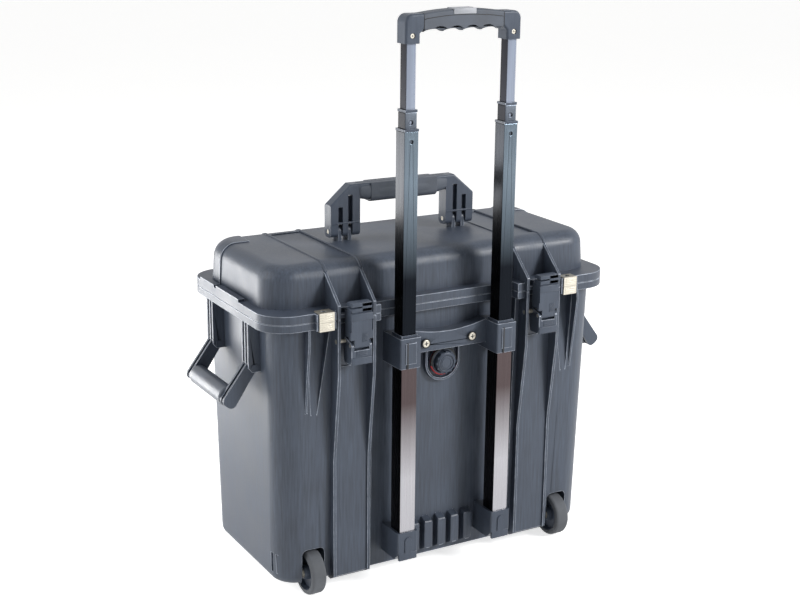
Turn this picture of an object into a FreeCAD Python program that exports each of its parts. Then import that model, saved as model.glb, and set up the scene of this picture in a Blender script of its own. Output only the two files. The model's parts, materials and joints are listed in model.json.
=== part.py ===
import FreeCAD, Part
import math
import os

import Sketcher

# Rolling protective case: a ribbed tub with a hinged lid, two latches, three handles that fold,
# a telescopic trolley on the front wall, two wheels and a pressure valve.
# X runs along the long side, the trolley and latches are at -Y, the hinge at +Y, the floor at z = 0.

SIZES = [
    ("rim_length", 500, "outside length of the two rims"),
    ("rim_width", 250, "outside width of the two rims"),
    ("rim_corner", 38, "corner radius of the rims"),
    ("parting_height", 364, "floor to the top of the base rim"),
    ("base_rim_depth", 9.5, "thickness of the base rim"),
    ("lid_rim_depth", 10.7, "thickness of the lid rim"),
    ("lid_gap", 0.3, "gap between the closed rims"),
    ("tub_length", 458, "tub length at its bottom"),
    ("tub_width", 216, "tub width at its bottom"),
    ("tub_bottom", 16, "floor to the underside of the tub"),
    ("tub_draft_angle", 1, "draft of the tub walls, degrees"),
    ("tub_corner", 34, "corner radius of the tub"),
    ("tub_bottom_round", 12, "round of the tub's bottom edge"),
    ("cavity_length", 434, "inside length"),
    ("cavity_width", 190, "inside width"),
    ("cavity_corner", 26, "inside corner radius"),
    ("floor_wall", 6, "thickness of the tub's floor"),
    ("channel_width", 208, "width of the trolley channel in the front wall"),
    ("channel_wall", 6.5, "wall left behind the trolley channel"),
    ("rim_notch_width", 200, "width of the rim notch in front of the trolley"),
    ("rim_notch_front", 113, "centre plane to the notched rim's front"),
    ("lid_length", 474, "dome length at the rim"),
    ("lid_width", 196, "dome width at the rim"),
    ("lid_height", 51, "dome height above the rim"),
    ("lid_draft_angle", 3, "draft of the dome walls, degrees"),
    ("lid_corner", 36, "corner radius of the dome"),
    ("lid_round", 20, "round of the dome's top edge"),
    ("lid_top_wall", 5, "thickness of the dome's top"),
    ("lid_cavity_length", 434, "inside length of the lid"),
    ("lid_cavity_width", 176, "inside width of the lid"),
    ("panel_depth", 1.6, "depth of the recessed panels on the lid"),
    ("panel_front", 72, "centre plane to a recessed panel's front and back"),
    ("pad_rise", 1.6, "how far the lid's rear corners stand proud"),
    ("pad_place", 196, "centre plane to a rear corner's inner edge"),
    ("pad_front", 47, "centre plane to a rear corner's front edge"),
    ("lip_rise", 3.4, "height of the lips on the ends of the lid's rim"),
    ("lip_inset", 9, "width of those lips"),
    ("lip_front", 37, "centre plane to the front end of a lip"),
    ("lip_back", 33, "centre plane to the back end of a lip"),
    ("lip_gap", 6, "gap between a lip and the one behind it"),
    ("lip_end", 84, "centre plane to the end of the rear lip"),
    ("latch_place", 136, "centre plane to a latch's centre"),
    ("fin_pitch", 48, "spacing of a latch's two guard fins"),
    ("fin_thickness", 4, "thickness of a guard fin"),
    ("fin_front", 131, "centre plane to the front of the guard fins"),
    ("ridge_front", 118, "centre plane to the fins' ridges down a pilaster"),
    ("fin_foot", 180, "height where a base fin leaves the wall"),
    ("fin_knee_drop", 73, "parting plane down to where a base fin turns upright"),
    ("lid_fin_rise", 7, "lid rim up to where a lid fin turns back"),
    ("lid_fin_root", 90, "centre plane to the root of a lid fin"),
    ("lid_fin_drop", 7, "lid top down to where a lid fin meets the dome"),
    ("pilaster_front", 115.5, "centre plane to the front of the latch pilaster"),
    ("pilaster_drop", 64, "parting plane down to where a pilaster fades out"),
    ("bay_front", 114.5, "centre plane to the rims inside a latch bay"),
    ("keeper_front", 124, "centre plane to the front of the latch keeper"),
    ("keeper_depth", 4.7, "thickness of the latch keeper"),
    ("padlock_place", 177, "centre plane to a padlock hole"),
    ("padlock_width", 26, "width of a padlock boss"),
    ("padlock_front", 131, "centre plane to the front of a padlock boss"),
    ("padlock_hole", 8, "diameter of a padlock hole"),
    ("padlock_hole_front", 122.5, "centre plane to a padlock hole's axis"),
    ("plate_width", 20, "width of a padlock plate"),
    ("plate_sheet", 1.2, "sheet thickness of a padlock plate"),
    ("plate_reach", 14, "depth of a padlock plate behind its front"),
    ("flute_inner", 164, "centre plane to the inner edge of a corner flute"),
    ("flute_outer", 194.5, "centre plane to the outer edge of a corner flute"),
    ("flute_tip", 187, "centre plane to the tip of a corner flute"),
    ("flute_tip_width", 2, "width of a corner flute at its tip"),
    ("flute_foot", 215, "height of a corner flute's tip"),
    ("flute_floor", 101.5, "centre plane to a flute's floor at the rim"),
    ("corner_rib_place", 196, "centre plane to the rib beside a corner flute"),
    ("corner_rib", 3, "thickness of the rib beside a corner flute"),
    ("corner_rib_front", 124, "centre plane to the front of that rib"),
    ("corner_rib_drop", 16.5, "base rim down to where a corner rib turns upright"),
    ("hinge_offset", 140, "centre plane to the hinge axis"),
    ("knuckle_diameter", 16, "outside diameter of a hinge knuckle"),
    ("hinge_pin", 5.8, "diameter of a hinge pin"),
    ("hinge_hole", 6, "bore of a hinge knuckle"),
    ("knuckle_width", 8, "width of a base hinge knuckle"),
    ("knuckle_gap", 0.6, "side gap between hinge knuckles"),
    ("web_drop", 46, "parting plane down to where a hinge web leaves the wall"),
    ("wheel_place", 185.7, "centre plane to a wheel's centre"),
    ("wheel_front", 99, "centre plane to the wheel axles"),
    ("wheel_radius", 29, "tread radius of a wheel"),
    ("tyre_width", 20, "width of a tyre"),
    ("tyre_depth", 7, "thickness of a tyre"),
    ("tyre_bevel", 2.4, "bevel of a tyre's shoulders"),
    ("well_width", 30.4, "width of a wheel well"),
    ("well_round", 7, "round of a wheel well's upper edges"),
    ("well_clearance", 5, "gap between a tread and its well"),
    ("well_wall", 4.6, "wall of a wheel arch inside the tub"),
    ("axle_diameter", 8, "diameter of a wheel axle"),
    ("axle_fit", 0.1, "diametral clearance on an axle"),
    ("axle_seat", 10, "length of an axle held at each side of its well"),
    ("bush_wall", 2, "wall of a wheel bush"),
    ("hub_width", 22, "width of a wheel hub"),
    ("hub_web", 7.4, "thickness of a hub's web"),
    ("bush_length", 27, "length of a wheel bush"),
    ("foot_place", 130, "centre plane to a rear foot's centre"),
    ("foot_length", 52, "length of a rear foot"),
    ("foot_width", 28, "width of a rear foot"),
    ("foot_bevel", 2.5, "bevel of a rear foot's sole"),
    ("foot_offset", 74, "centre plane to the rear feet's axis"),
    ("skid_pitch", 20, "spacing of the skid ribs"),
    ("skid_width", 6, "width of a skid rib"),
    ("rib_overlap", 1, "how far a rib runs into the wall it stands on"),
    ("skid_front", 112, "centre plane to the front of the skid ribs"),
    ("skid_foot", 23, "lower end of the skid ribs"),
    ("skid_head", 70, "upper end of the skid ribs"),
    ("vent_width", 4, "width of a slot in the end walls"),
    ("vent_pitch", 10, "spacing of the slots in the end walls"),
    ("vent_place", 84, "centre plane to the middle of the slots"),
    ("vent_foot", 30, "lower end of the slots"),
    ("vent_head", 56, "upper end of the slots"),
    ("vent_depth", 3, "depth of the slots"),
    ("side_pivot_offset", 242, "centre plane to a side handle's axis"),
    ("side_pivot_drop", 56.5, "base rim down to a side handle's axis"),
    ("side_arm_place", 55, "centre plane to a side handle's arm"),
    ("bracket_fin_pitch", 8, "spacing of a side bracket's fins"),
    ("bracket_fin", 3.6, "thickness of a side bracket's fins"),
    ("bracket_reach", 250, "centre plane to the front of a side bracket"),
    ("prong_thickness", 3.6, "thickness of a handle prong"),
    ("pivot_pin", 5.8, "diameter of a handle pin"),
    ("pivot_hole", 6, "bore for a handle pin"),
    ("pivot_eye", 14, "outside diameter of the top handle's eyes"),
    ("side_eye", 12, "outside diameter of a side handle's eyes"),
    ("side_arm_width", 19, "width of a side handle's arms at the grip"),
    ("side_arm_shoulder", 9.5, "axis to the outer edge of a side handle's arms"),
    ("side_arm_toe", 11, "grip's axis down to the rounded end of an arm"),
    ("side_arm_round", 7, "round of the arms' lower ends"),
    ("side_head", 9, "diameter of the heads of the side handle pins"),
    ("side_head_rise", 1.6, "height of those heads"),
    ("side_grip_end", 19, "diameter of a side grip at its ends"),
    ("side_rest_angle", 37, "tilt of a side handle as it rests, degrees"),
    ("side_arm_length", 47, "axis to the grip of a side handle"),
    ("side_grip_diameter", 25, "diameter of a side grip at its middle"),
    ("side_bar_diameter", 14, "diameter of the bar inside a side grip"),
    ("top_handle_offset", 6, "centre plane to the top handle"),
    ("top_pivot_rise", 12, "lid top up to the top handle's axis"),
    ("top_leg_place", 85, "centre plane to a top handle leg's middle"),
    ("top_leg_width", 42, "width of a top handle leg"),
    ("top_leg_depth", 18, "depth of the top handle"),
    ("top_shoulder_rise", 35, "top handle's axis up to its shoulders"),
    ("top_knee_place", 77, "centre plane to the top handle's knees"),
    ("top_bar_rise", 60, "top handle's axis up to its top"),
    ("top_bar_depth", 14, "height of the top handle's bar"),
    ("top_grip_height", 25, "overall height of the top grip"),
    ("top_grip_depth", 23, "depth of the top grip"),
    ("top_grip_length", 98, "length of the top grip"),
    ("top_grip_round", 7.6, "round of the top grip's lower edges"),
    ("top_leg_round", 6.4, "round of the top handle's feet"),
    ("top_window_rise", 32, "top handle's axis up to the end of a leg's outer slot"),
    ("top_inner_rise", 47, "top handle's axis up to the end of a leg's inner slot"),
    ("top_edge_round", 2.5, "round of the top handle's upper edges"),
    ("top_lug_width", 5.4, "width of a lug on the lid"),
    ("top_lug_gap", 0.5, "side gap between a lug and its prongs"),
    ("top_lug_pitch", 14, "spacing of a leg's two lugs"),
    ("valve_drop", 20.5, "bridge's lower edge down to the valve's axis"),
    ("valve_flange", 38, "diameter of the valve's flange"),
    ("valve_flange_depth", 3, "thickness of the valve's flange"),
    ("valve_barrel", 24, "diameter of the valve's barrel"),
    ("valve_fit", 0.2, "diametral clearance of the barrel in the wall"),
    ("valve_nut", 34, "diameter of the valve's nut"),
    ("valve_nut_depth", 5, "thickness of the valve's nut"),
    ("valve_ring", 33.6, "middle diameter of the red seal ring"),
    ("valve_ring_wire", 3.6, "section diameter of the red seal ring"),
    ("knob_diameter", 28, "diameter of the valve knob"),
    ("knob_depth", 12, "height of the valve knob"),
    ("knob_stem", 10, "diameter of the knob's stem"),
    ("knob_gap", 0.4, "gap between the knob and the valve's flange"),
    ("knob_round", 2.4, "round of the knob's front edge"),
    ("knob_ring", 21, "diameter of the ring groove on the knob"),
    ("knob_ring_width", 1.4, "width of the ring groove"),
    ("knob_ring_depth", 0.8, "depth of the ring groove"),
    ("valve_guard", 45, "inside width of the wall round the valve"),
    ("valve_guard_wall", 3.4, "thickness of the wall round the valve"),
    ("valve_guard_rise", 6, "height of the wall round the valve"),
    ("trolley_place", 70, "centre plane to a trolley tube"),
    ("trolley_front", 131, "centre plane to the trolley tubes' axis"),
    ("tube_wall", 1.2, "wall of the trolley tubes"),
    ("tube_gap", 0.3, "gap between nested tubes"),
    ("outer_tube_width", 22, "width of an outer tube"),
    ("outer_tube_depth", 24, "depth of an outer tube"),
    ("outer_tube_foot", 42, "lower end of the outer tubes"),
    ("collar_drop", 31, "parting plane down to the upper end of the outer tubes"),
    ("collar_height", 39, "height of the collars"),
    ("collar_width", 29, "width of the collars and bottom brackets"),
    ("collar_front", 146.8, "centre plane to the front of the collars"),
    ("collar_round", 2.4, "round of the collars' and brackets' edges"),
    ("badge_width", 15, "width of the raised pads on the collars"),
    ("badge_height", 27, "height of the raised pads on the collars"),
    ("badge_rise", 1.2, "how far the raised pads stand out"),
    ("rail_width", 9, "width of the rib on a bottom bracket"),
    ("rail_head", 68, "upper end of that rib"),
    ("bracket_front", 145, "centre plane to the front of the bottom brackets"),
    ("bracket_foot", 37, "lower end of the bottom brackets"),
    ("bracket_head", 75, "upper end of the bottom brackets"),
    ("bridge_front", 120, "centre plane to the front of the bridge"),
    ("bridge_foot_drop", 30.5, "collars' top down to the lower edge of the bridge"),
    ("bridge_rise", 1, "collars' top up to the bridge's upper edge at its ends"),
    ("bridge_sag", 8, "dip of the bridge's upper edge"),
    ("screw_place", 34, "centre plane to a bridge screw"),
    ("screw_rise", 11.5, "bridge's lower edge up to its screws"),
    ("screw_head", 10, "head diameter of a bridge screw"),
    ("screw_head_depth", 3, "head height of a bridge screw"),
    ("screw_round", 1, "round of a bridge screw's head"),
    ("screw_shank", 5, "shank diameter of a bridge screw"),
    ("screw_hole", 5.2, "hole for a bridge screw"),
    ("screw_bite", 4.5, "length of a bridge screw inside the wall"),
    ("screw_end_gap", 0.5, "space past a bridge screw's end"),
    ("cap_depth", 3, "height of a tube cap"),
    ("cap_proud", 0.6, "how far a cap stands out from its tube"),
    ("shoe_depth", 4, "height of a tube shoe"),
    ("shoe_spigot", 6, "height of a shoe's spigot inside its tube"),
    ("lower_tube_drop", 40, "collars' top down to the lower end of the lower stage"),
    ("lower_tube_length", 292, "length of the lower stage's tubes"),
    ("middle_tube_rise", 30, "lower stage's end up to the middle stage's"),
    ("middle_tube_length", 284.7, "length of the middle stage's tubes"),
    ("upper_tube_rise", 87, "middle stage's end up to the upper stage's"),
    ("upper_tube_length", 292, "length of the upper stage's tubes"),
    ("lock_hole", 5, "diameter of a lock hole"),
    ("lock_hole_drop", 12, "tube's end to its lock hole"),
    ("grip_seat", 15, "length of an upper tube inside its elbow"),
    ("grip_half_width", 80, "half the width of the trolley grip"),
    ("grip_depth", 22, "depth of the trolley grip"),
    ("grip_bar_half", 55, "half the length of the grip's centre piece"),
    ("grip_bar_rise", 16, "elbows' lower end up to the grip's centre piece"),
    ("grip_bar_height", 18, "height of the grip at its joints"),
    ("grip_crown", 4, "rise of the grip's top at its middle"),
    ("elbow_wall", 3.6, "wall of an elbow beside its tube"),
    ("elbow_drop", 5, "drop of an elbow's inner corner"),
    ("elbow_round", 10, "round of an elbow's outer corner"),
    ("grip_edge_round", 3, "round of the trolley grip's edges"),
    ("scallop_pitch", 22, "spacing of the finger scallops"),
    ("scallop_radius", 16, "radius of a finger scallop"),
    ("scallop_depth", 3, "depth of a finger scallop"),
    ("grip_screw_head", 5.6, "head diameter of a grip screw"),
    ("grip_screw_hole", 6.4, "hole for a grip screw"),
    ("grip_screw_rise", 9, "elbow's lower end to its screw"),
    ("button_length", 30, "length of the release button"),
    ("button_width", 11, "width of the release button"),
    ("button_height", 9, "height of the release button"),
    ("button_proud", 1.2, "how far the button stands out"),
    ("button_gap", 0.4, "gap round the button"),
    ("button_travel", 3, "travel of the release button"),
    ("button_spring", 7, "outside diameter of the button's spring"),
    ("button_spring_wire", 0.8, "wire diameter of the button's spring"),
    ("button_spring_turns", 4, "turns of the button's spring"),
    ("button_round", 0.8, "round of the button's top edge"),
    ("latch_width", 28, "width of a latch"),
    ("latch_front", 143, "centre plane to the front of a latch"),
    ("latch_reach", 24, "a hook's axis down to the end of its lever"),
    ("latch_plate", 5, "thickness of a latch's front plates"),
    ("latch_cheek", 3.6, "thickness of a latch lever's cheeks"),
    ("latch_pivot_front", 125, "centre plane to a latch lever's axis"),
    ("latch_pivot_drop", 28, "parting plane down to a latch lever's axis"),
    ("link_front", 138.5, "centre plane to a latch hook's axis"),
    ("link_drop", 3, "a lever's axis down to its hook's axis"),
    ("latch_pin", 5, "diameter of a latch pin"),
    ("link_pin", 4, "diameter of a latch's link pin"),
    ("latch_fit", 0.12, "diametral clearance on the latch pins"),
    ("latch_eye", 10, "outside diameter of a latch lever's eyes"),
    ("link_eye", 9, "outside diameter of a hook's eye"),
    ("link_gap", 1.5, "gap between a lever's plate and the hook's eye"),
    ("latch_bevel", 2, "bevel of a latch's ends"),
    ("hook_gap", 0.5, "side gap between a hook and its cheeks"),
    ("hook_claw", 5, "thickness of a hook's claw"),
    ("hook_clearance", 0.6, "gap between a claw and its keeper"),
    ("hook_ear", 1, "how far a hook's ears stand out"),
    ("hook_ear_rise", 7.4, "hook's axis to the lower edge of its ears"),
    ("hook_ear_height", 10, "height of a hook's ears"),
    ("cut_step", 0.3, "offset of a parting plane from the face beside it"),
    ("cut_end", 208.5, "centre plane to where the base's ends are parted from its walls"),
    ("cut_side", 87.3, "centre plane to where the base's long walls are parted"),
    ("cut_bracket", 44.9, "centre plane to where the side brackets are parted"),
    ("lid_cut_end", 200.5, "centre plane to where the lid's ends are parted"),
    ("lid_cut_side", 75.4, "centre plane to where the lid's long walls are parted"),
    ("lid_cut_drop", 10.6, "lid top down to where its top is parted from its walls"),
    ("hook_cheek_rise", 9.6, "hook's axis up to the foot of its side cheeks"),
    ("hook_cheek_front", 126, "centre plane to the back of a hook's side cheeks"),
    ("lever_cheek_front", 122, "centre plane to the back of a lever's side cheeks"),
    ("gasket_width", 3.5, "width of the lid gasket"),
    ("gasket_depth", 2.5, "depth of the lid gasket"),
    ("gasket_inset", 5, "inside of the tub to the gasket"),
]

doc = FreeCAD.newDocument("RollingCase")
sheet = doc.addObject("Spreadsheet::Sheet", "Sizes")


class Size:
    """A length that carries both its value and the sheet expression that gives it."""

    def __init__(self, value, text):
        self.value = value
        self.text = text

    def joined(self, sign, other, value):
        return Size(value, f"({self.text} {sign} {text_of(other)})")

    def __add__(self, other):
        return self.joined("+", other, self.value + number(other))

    def __sub__(self, other):
        return self.joined("-", other, self.value - number(other))

    def __mul__(self, other):
        return self.joined("*", other, self.value * number(other))

    def __truediv__(self, other):
        return self.joined("/", other, self.value / number(other))

    def __neg__(self):
        return Size(-self.value, f"(-{self.text})")

    def __radd__(self, other):
        return self + other

    def __rsub__(self, other):
        return -self + other

    def __rmul__(self, other):
        return self * other


def number(size):
    return size.value if isinstance(size, Size) else float(size)


def text_of(size):
    return size.text if isinstance(size, Size) else repr(float(size))


class Sheet:
    """The driving sizes, one attribute for each alias of the sheet."""


S = Sheet()
for row, (alias, amount, meaning) in enumerate(SIZES, 1):
    sheet.set(f"A{row}", meaning)
    sheet.set(f"B{row}", str(amount))
    sheet.setAlias(f"B{row}", alias)
    setattr(S, alias, Size(float(amount), f"Sizes.{alias}"))
doc.recompute()


# Outlines: each returns a function that draws bound geometry into a sketch

def place_point(sketch, edge, end, point):
    for kind, size in zip(("DistanceX", "DistanceY"), point):
        row = sketch.addConstraint(Sketcher.Constraint(kind, -1, 1, edge, end, number(size)))
        sketch.setExpression(f"Constraints[{row}]", text_of(size))


def vector(point):
    return FreeCAD.Vector(number(point[0]), number(point[1]), 0)


def polygon(*points):
    def draw(sketch):
        first = sketch.GeometryCount
        count = len(points)
        for index, point in enumerate(points):
            following = points[(index + 1) % count]
            sketch.addGeometry(Part.LineSegment(vector(point), vector(following)), False)
        for index, point in enumerate(points):
            after = first + (index + 1) % count
            sketch.addConstraint(Sketcher.Constraint("Coincident", first + index, 2, after, 1))
            place_point(sketch, first + index, 1, point)
    return draw


def rectangle(low, high):
    return polygon(low, (high[0], low[1]), high, (low[0], high[1]))


def centred(centre, width, height):
    x, y = centre
    return rectangle((x - width / 2, y - height / 2), (x + width / 2, y + height / 2))


def circle(centre, diameter):
    def draw(sketch):
        radius = diameter / 2
        normal = FreeCAD.Vector(0, 0, 1)
        edge = sketch.addGeometry(Part.Circle(vector(centre), normal, number(radius)), False)
        place_point(sketch, edge, 3, centre)
        row = sketch.addConstraint(Sketcher.Constraint("Radius", edge, number(radius)))
        sketch.setExpression(f"Constraints[{row}]", text_of(radius))
    return draw


def arched(points, start, rise_point):
    """A polygon whose side from points[start] to the next one is an arc through rise_point."""
    def draw(sketch):
        first = sketch.GeometryCount
        count = len(points)
        ends = []
        for index, point in enumerate(points):
            following = points[(index + 1) % count]
            if index == start:
                arc = Part.ArcOfCircle(vector(point), vector(rise_point), vector(following))
                middle = arc.Center
                forward = (vector(point) - middle).cross(vector(rise_point) - middle).z > 0
                sketch.addGeometry(arc, False)
                ends.append((1, 2) if forward else (2, 1))
            else:
                sketch.addGeometry(Part.LineSegment(vector(point), vector(following)), False)
                ends.append((1, 2))
        for index, point in enumerate(points):
            after = (index + 1) % count
            leave = ends[index][1]
            enter = ends[after][0]
            sketch.addConstraint(Sketcher.Constraint("Coincident", first + index, leave, first + after, enter))
            place_point(sketch, first + index, ends[index][0], point)
        marker = sketch.addGeometry(Part.Point(vector(rise_point)), True)
        place_point(sketch, marker, 1, rise_point)
        sketch.addConstraint(Sketcher.Constraint("PointOnObject", marker, 1, first + start))
    return draw


# Features of a body

PLANES = {"x": "YZ_Plane", "y": "XZ_Plane", "z": "XY_Plane"}
NODES = {}


def new_body(name):
    body = doc.addObject("PartDesign::Body", name)
    body.Label = name
    NODES[name] = body
    return body


def origin_feature(body, role):
    return next(item for item in body.Origin.OriginFeatures if item.Role == role)


def bind(item, name, size):
    if isinstance(size, Size):
        item.setExpression(name, size.text)
    else:
        setattr(item, name, size)


def new_sketch(body, axis, outlines, offset):
    sketch = body.newObject("Sketcher::SketchObject", f"{body.Name}_sketch")
    sketch.AttachmentSupport = [(origin_feature(body, PLANES[axis]), "")]
    sketch.MapMode = "FlatFace"
    sketch.setExpression("AttachmentOffset.Base.z", text_of(offset))
    for outline in outlines:
        outline(sketch)
    return sketch


def pad(body, axis, outline, low, high, draft=None):
    """Adds the outline between two planes square to the axis."""
    start = -high if axis == "y" else low
    outlines = outline if isinstance(outline, list) else [outline]
    feature = body.newObject("PartDesign::Pad", f"{body.Name}_pad")
    feature.Profile = new_sketch(body, axis, outlines, start)
    feature.setExpression("Length", text_of(high - low))
    if draft is not None:
        bind(feature, "TaperAngle", draft)
    feature.Refine = False
    body.Tip = feature
    return feature


def cut(body, axis, outline, low, high, draft=None):
    """Removes the outline between two planes square to the axis."""
    start = -low if axis == "y" else high
    outlines = outline if isinstance(outline, list) else [outline]
    feature = body.newObject("PartDesign::Pocket", f"{body.Name}_pocket")
    feature.Profile = new_sketch(body, axis, outlines, start)
    feature.setExpression("Length", text_of(high - low))
    if draft is not None:
        bind(feature, "TaperAngle", draft)
    feature.Refine = False
    body.Tip = feature
    return feature


def revolve(body, outline, axis_role="X_Axis", plane="z"):
    feature = body.newObject("PartDesign::Revolution", f"{body.Name}_revolution")
    feature.Profile = new_sketch(body, plane, [outline], Size(0.0, "0"))
    feature.ReferenceAxis = (origin_feature(body, axis_role), [""])
    feature.Angle = 360
    body.Tip = feature
    return feature


def loft(body, axis, first, first_at, second, second_at):
    """Adds a straight loft between two outlines on planes square to the axis."""
    feature = body.newObject("PartDesign::AdditiveLoft", f"{body.Name}_loft")
    feature.Profile = new_sketch(body, axis, [first], first_at)
    feature.Sections = [new_sketch(body, axis, [second], second_at)]
    feature.Ruled = True
    feature.Refine = False
    body.Tip = feature
    return feature


def dress(body, kind, size_name, wanted, size):
    """Rounds or bevels the edges of the body for which wanted(edge) holds."""
    doc.recompute()
    base = body.Tip
    edges = base.Shape.Edges
    names = [f"Edge{place}" for place, edge in enumerate(edges, 1) if wanted(edge)]
    if not names:
        raise RuntimeError(f"{body.Label}: no edge to dress")
    feature = body.newObject(f"PartDesign::{kind}", f"{body.Name}_{kind.lower()}")
    feature.Base = (base, names)
    bind(feature, size_name, size)
    body.Tip = feature
    doc.recompute()
    if not feature.Shape.isValid() or feature.Shape.isNull():
        raise RuntimeError(f"{body.Label}: the {kind} failed")
    return feature


def fillet(body, wanted, radius):
    return dress(body, "Fillet", "Radius", wanted, radius)


def chamfer(body, wanted, size):
    return dress(body, "Chamfer", "Size", wanted, size)


def runs_along(edge, axis, slack=0.02):
    """True for a straight edge that runs along the axis, or within a small draft of it."""
    chord = edge.valueAt(edge.LastParameter) - edge.valueAt(edge.FirstParameter)
    straight = edge.Length - chord.Length < slack
    return straight and abs(chord["xyz".index(axis)]) > (1 - slack) * edge.Length > 0


def near(value, size, slack=0.05):
    return abs(value - number(size)) < slack


def middle(edge):
    return edge.valueAt((edge.FirstParameter + edge.LastParameter) / 2)


def place(body, x=None, y=None, z=None):
    for axis, size in zip("xyz", (x, y, z)):
        if size is not None:
            body.setExpression(f"Placement.Base.{axis}", text_of(size))


def spread(side, low, high):
    """The bounds low to high from the centre plane, on the given side of it."""
    return (low, high) if side > 0 else (-high, -low)


def tool_body(name):
    """A body that is joined to a shell, or cut out of it, in one step."""
    return doc.addObject("PartDesign::Body", name)


def shell_of(name, core, added, removed, blocks):
    """The core with the added forms fused on and the removed ones cut out, parted into flat-faced blocks."""
    fused = doc.addObject("Part::MultiFuse", f"{name}_fused")
    fused.Shapes = [core, added]
    whole = doc.addObject("Part::Cut", f"{name}_whole")
    whole.Base = fused
    whole.Tool = removed
    whole.Refine = True
    pieces = []
    for block, outlines, low, high in blocks:
        tool = tool_body(f"{name}_{block}_block")
        pad(tool, "z", outlines, low, high)
        piece = doc.addObject("Part::Common", f"{name}_{block}")
        piece.Base = whole
        piece.Tool = tool
        pieces.append(piece)
    shell = doc.addObject("Part::Compound", name)
    shell.Links = pieces
    shell.Label = name
    NODES[name] = shell


def both_sides(inner, outer, low, high):
    """A rectangle and its mirror image across the centre plane."""
    return [rectangle((-outer, low), (-inner, high)), rectangle((inner, low), (outer, high))]


SIDES = (("left", -1), ("right", 1))
ZERO = Size(0.0, "0")

base_rim_low = S.parting_height - S.base_rim_depth
lid_low = S.parting_height + S.lid_gap
lid_rim_top = lid_low + S.lid_rim_depth
lid_top = lid_rim_top + S.lid_height
channel_front = S.cavity_width / 2 + S.channel_wall
hinge_height = S.parting_height + S.lid_gap / 2
fin_offsets = (S.latch_place - S.fin_pitch / 2, S.latch_place + S.fin_pitch / 2)
beyond = S.rim_width
fin_knee = S.parting_height - S.fin_knee_drop
lid_fin_knee = lid_rim_top + S.lid_fin_rise
lid_fin_top = lid_top - S.lid_fin_drop
pilaster_top = S.parting_height - S.pilaster_drop
corner_rib_knee = base_rim_low - S.corner_rib_drop
web_foot = S.parting_height - S.web_drop
side_pivot_height = base_rim_low - S.side_pivot_drop
top_pivot_height = lid_top + S.top_pivot_rise
top_shoulder_height = top_pivot_height + S.top_shoulder_rise
top_bar_height = top_pivot_height + S.top_bar_rise
top_window_head = top_pivot_height + S.top_window_rise
top_inner_head = top_pivot_height + S.top_inner_rise
collar_top = S.parting_height - S.collar_drop
bridge_foot = collar_top - S.bridge_foot_drop
bridge_head = collar_top + S.bridge_rise
screw_height = bridge_foot + S.screw_rise
valve_height = bridge_foot - S.valve_drop
lower_tube_foot = collar_top - S.lower_tube_drop
lower_tube_top = lower_tube_foot + S.lower_tube_length
middle_tube_foot = lower_tube_foot + S.middle_tube_rise
middle_tube_top = middle_tube_foot + S.middle_tube_length
upper_tube_foot = middle_tube_foot + S.upper_tube_rise
upper_tube_top = upper_tube_foot + S.upper_tube_length
grip_foot = upper_tube_top - S.grip_seat
grip_bar_foot = grip_foot + S.grip_bar_rise
grip_end_top = grip_bar_foot + S.grip_bar_height
latch_pivot_height = S.parting_height - S.latch_pivot_drop
link_height = latch_pivot_height - S.link_drop
latch_foot = link_height - S.latch_reach
claw_low = lid_low + S.keeper_depth + S.hook_clearance
hook_top = claw_low + S.hook_claw


def round_rim(body, low, high):
    """The plate of a rim with its four round corners."""
    pad(body, "z", centred((ZERO, ZERO), S.rim_length, S.rim_width), low, high)
    fillet(body, lambda edge: runs_along(edge, "z") and near(abs(middle(edge).x), S.rim_length / 2)
           and near(abs(middle(edge).y), S.rim_width / 2), S.rim_corner)


def trim_rim(body, low, high, bay_low):
    """Cuts the trolley notch and the two latch bays out of a rim."""
    half = S.rim_notch_width / 2
    cut(body, "z", rectangle((-half, -beyond), (half, -S.rim_notch_front)), low, high)
    bays = []
    for _, side in SIDES:
        inner, outer = spread(side, fin_offsets[0] + S.fin_thickness / 2, fin_offsets[1] - S.fin_thickness / 2)
        bays.append(rectangle((inner, -beyond), (outer, -S.bay_front)))
    cut(body, "z", bays, bay_low, high)


def padlock_bosses(body, low, high):
    outlines = []
    for _, side in SIDES:
        inner, outer = spread(side, S.padlock_place - S.padlock_width / 2,
                              S.padlock_place + S.padlock_width / 2)
        outlines.append(rectangle((inner, -S.padlock_front), (outer, -S.bay_front)))
    pad(body, "z", outlines, low, high)


def padlock_bores():
    return [circle((side * S.padlock_place, -S.padlock_hole_front), S.padlock_hole) for _, side in SIDES]


# Base

def base_shell():
    core = tool_body("base_tub")
    tub_centre = (ZERO, ZERO)
    pad(core, "z", centred(tub_centre, S.tub_length, S.tub_width), S.tub_bottom, base_rim_low,
        S.tub_draft_angle)
    fillet(core, lambda edge: runs_along(edge, "z"), S.tub_corner)
    fillet(core, lambda edge: near(edge.BoundBox.ZMax, S.tub_bottom), S.tub_bottom_round)
    half = S.channel_width / 2
    cut(core, "z", rectangle((-half, -beyond), (half, -channel_front)), ZERO, base_rim_low)
    round_rim(core, base_rim_low, S.parting_height)
    padlock_bosses(core, base_rim_low, S.parting_height)
    trim_rim(core, base_rim_low, S.parting_height, base_rim_low)
    cut(core, "z", centred(tub_centre, S.cavity_length, S.cavity_width),
        S.tub_bottom + S.floor_wall, S.parting_height)
    fillet(core, lambda edge: runs_along(edge, "z") and near(abs(middle(edge).x), S.cavity_length / 2)
           and near(abs(middle(edge).y), S.cavity_width / 2), S.cavity_corner)
    added = tool_body("base_ribs")
    removed = tool_body("base_openings")
    guard_fins(added)
    corner_ribs(added)
    wheel_wells(added, removed)
    corner_flutes(removed)
    skid_ribs(added)
    end_slots(removed)
    valve_guard(added, removed)
    side_brackets(added, removed)
    hinge_knuckles(added, removed, "base")
    base_holes(removed)
    shell_of("base_shell", core, added, removed, base_blocks())


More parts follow.
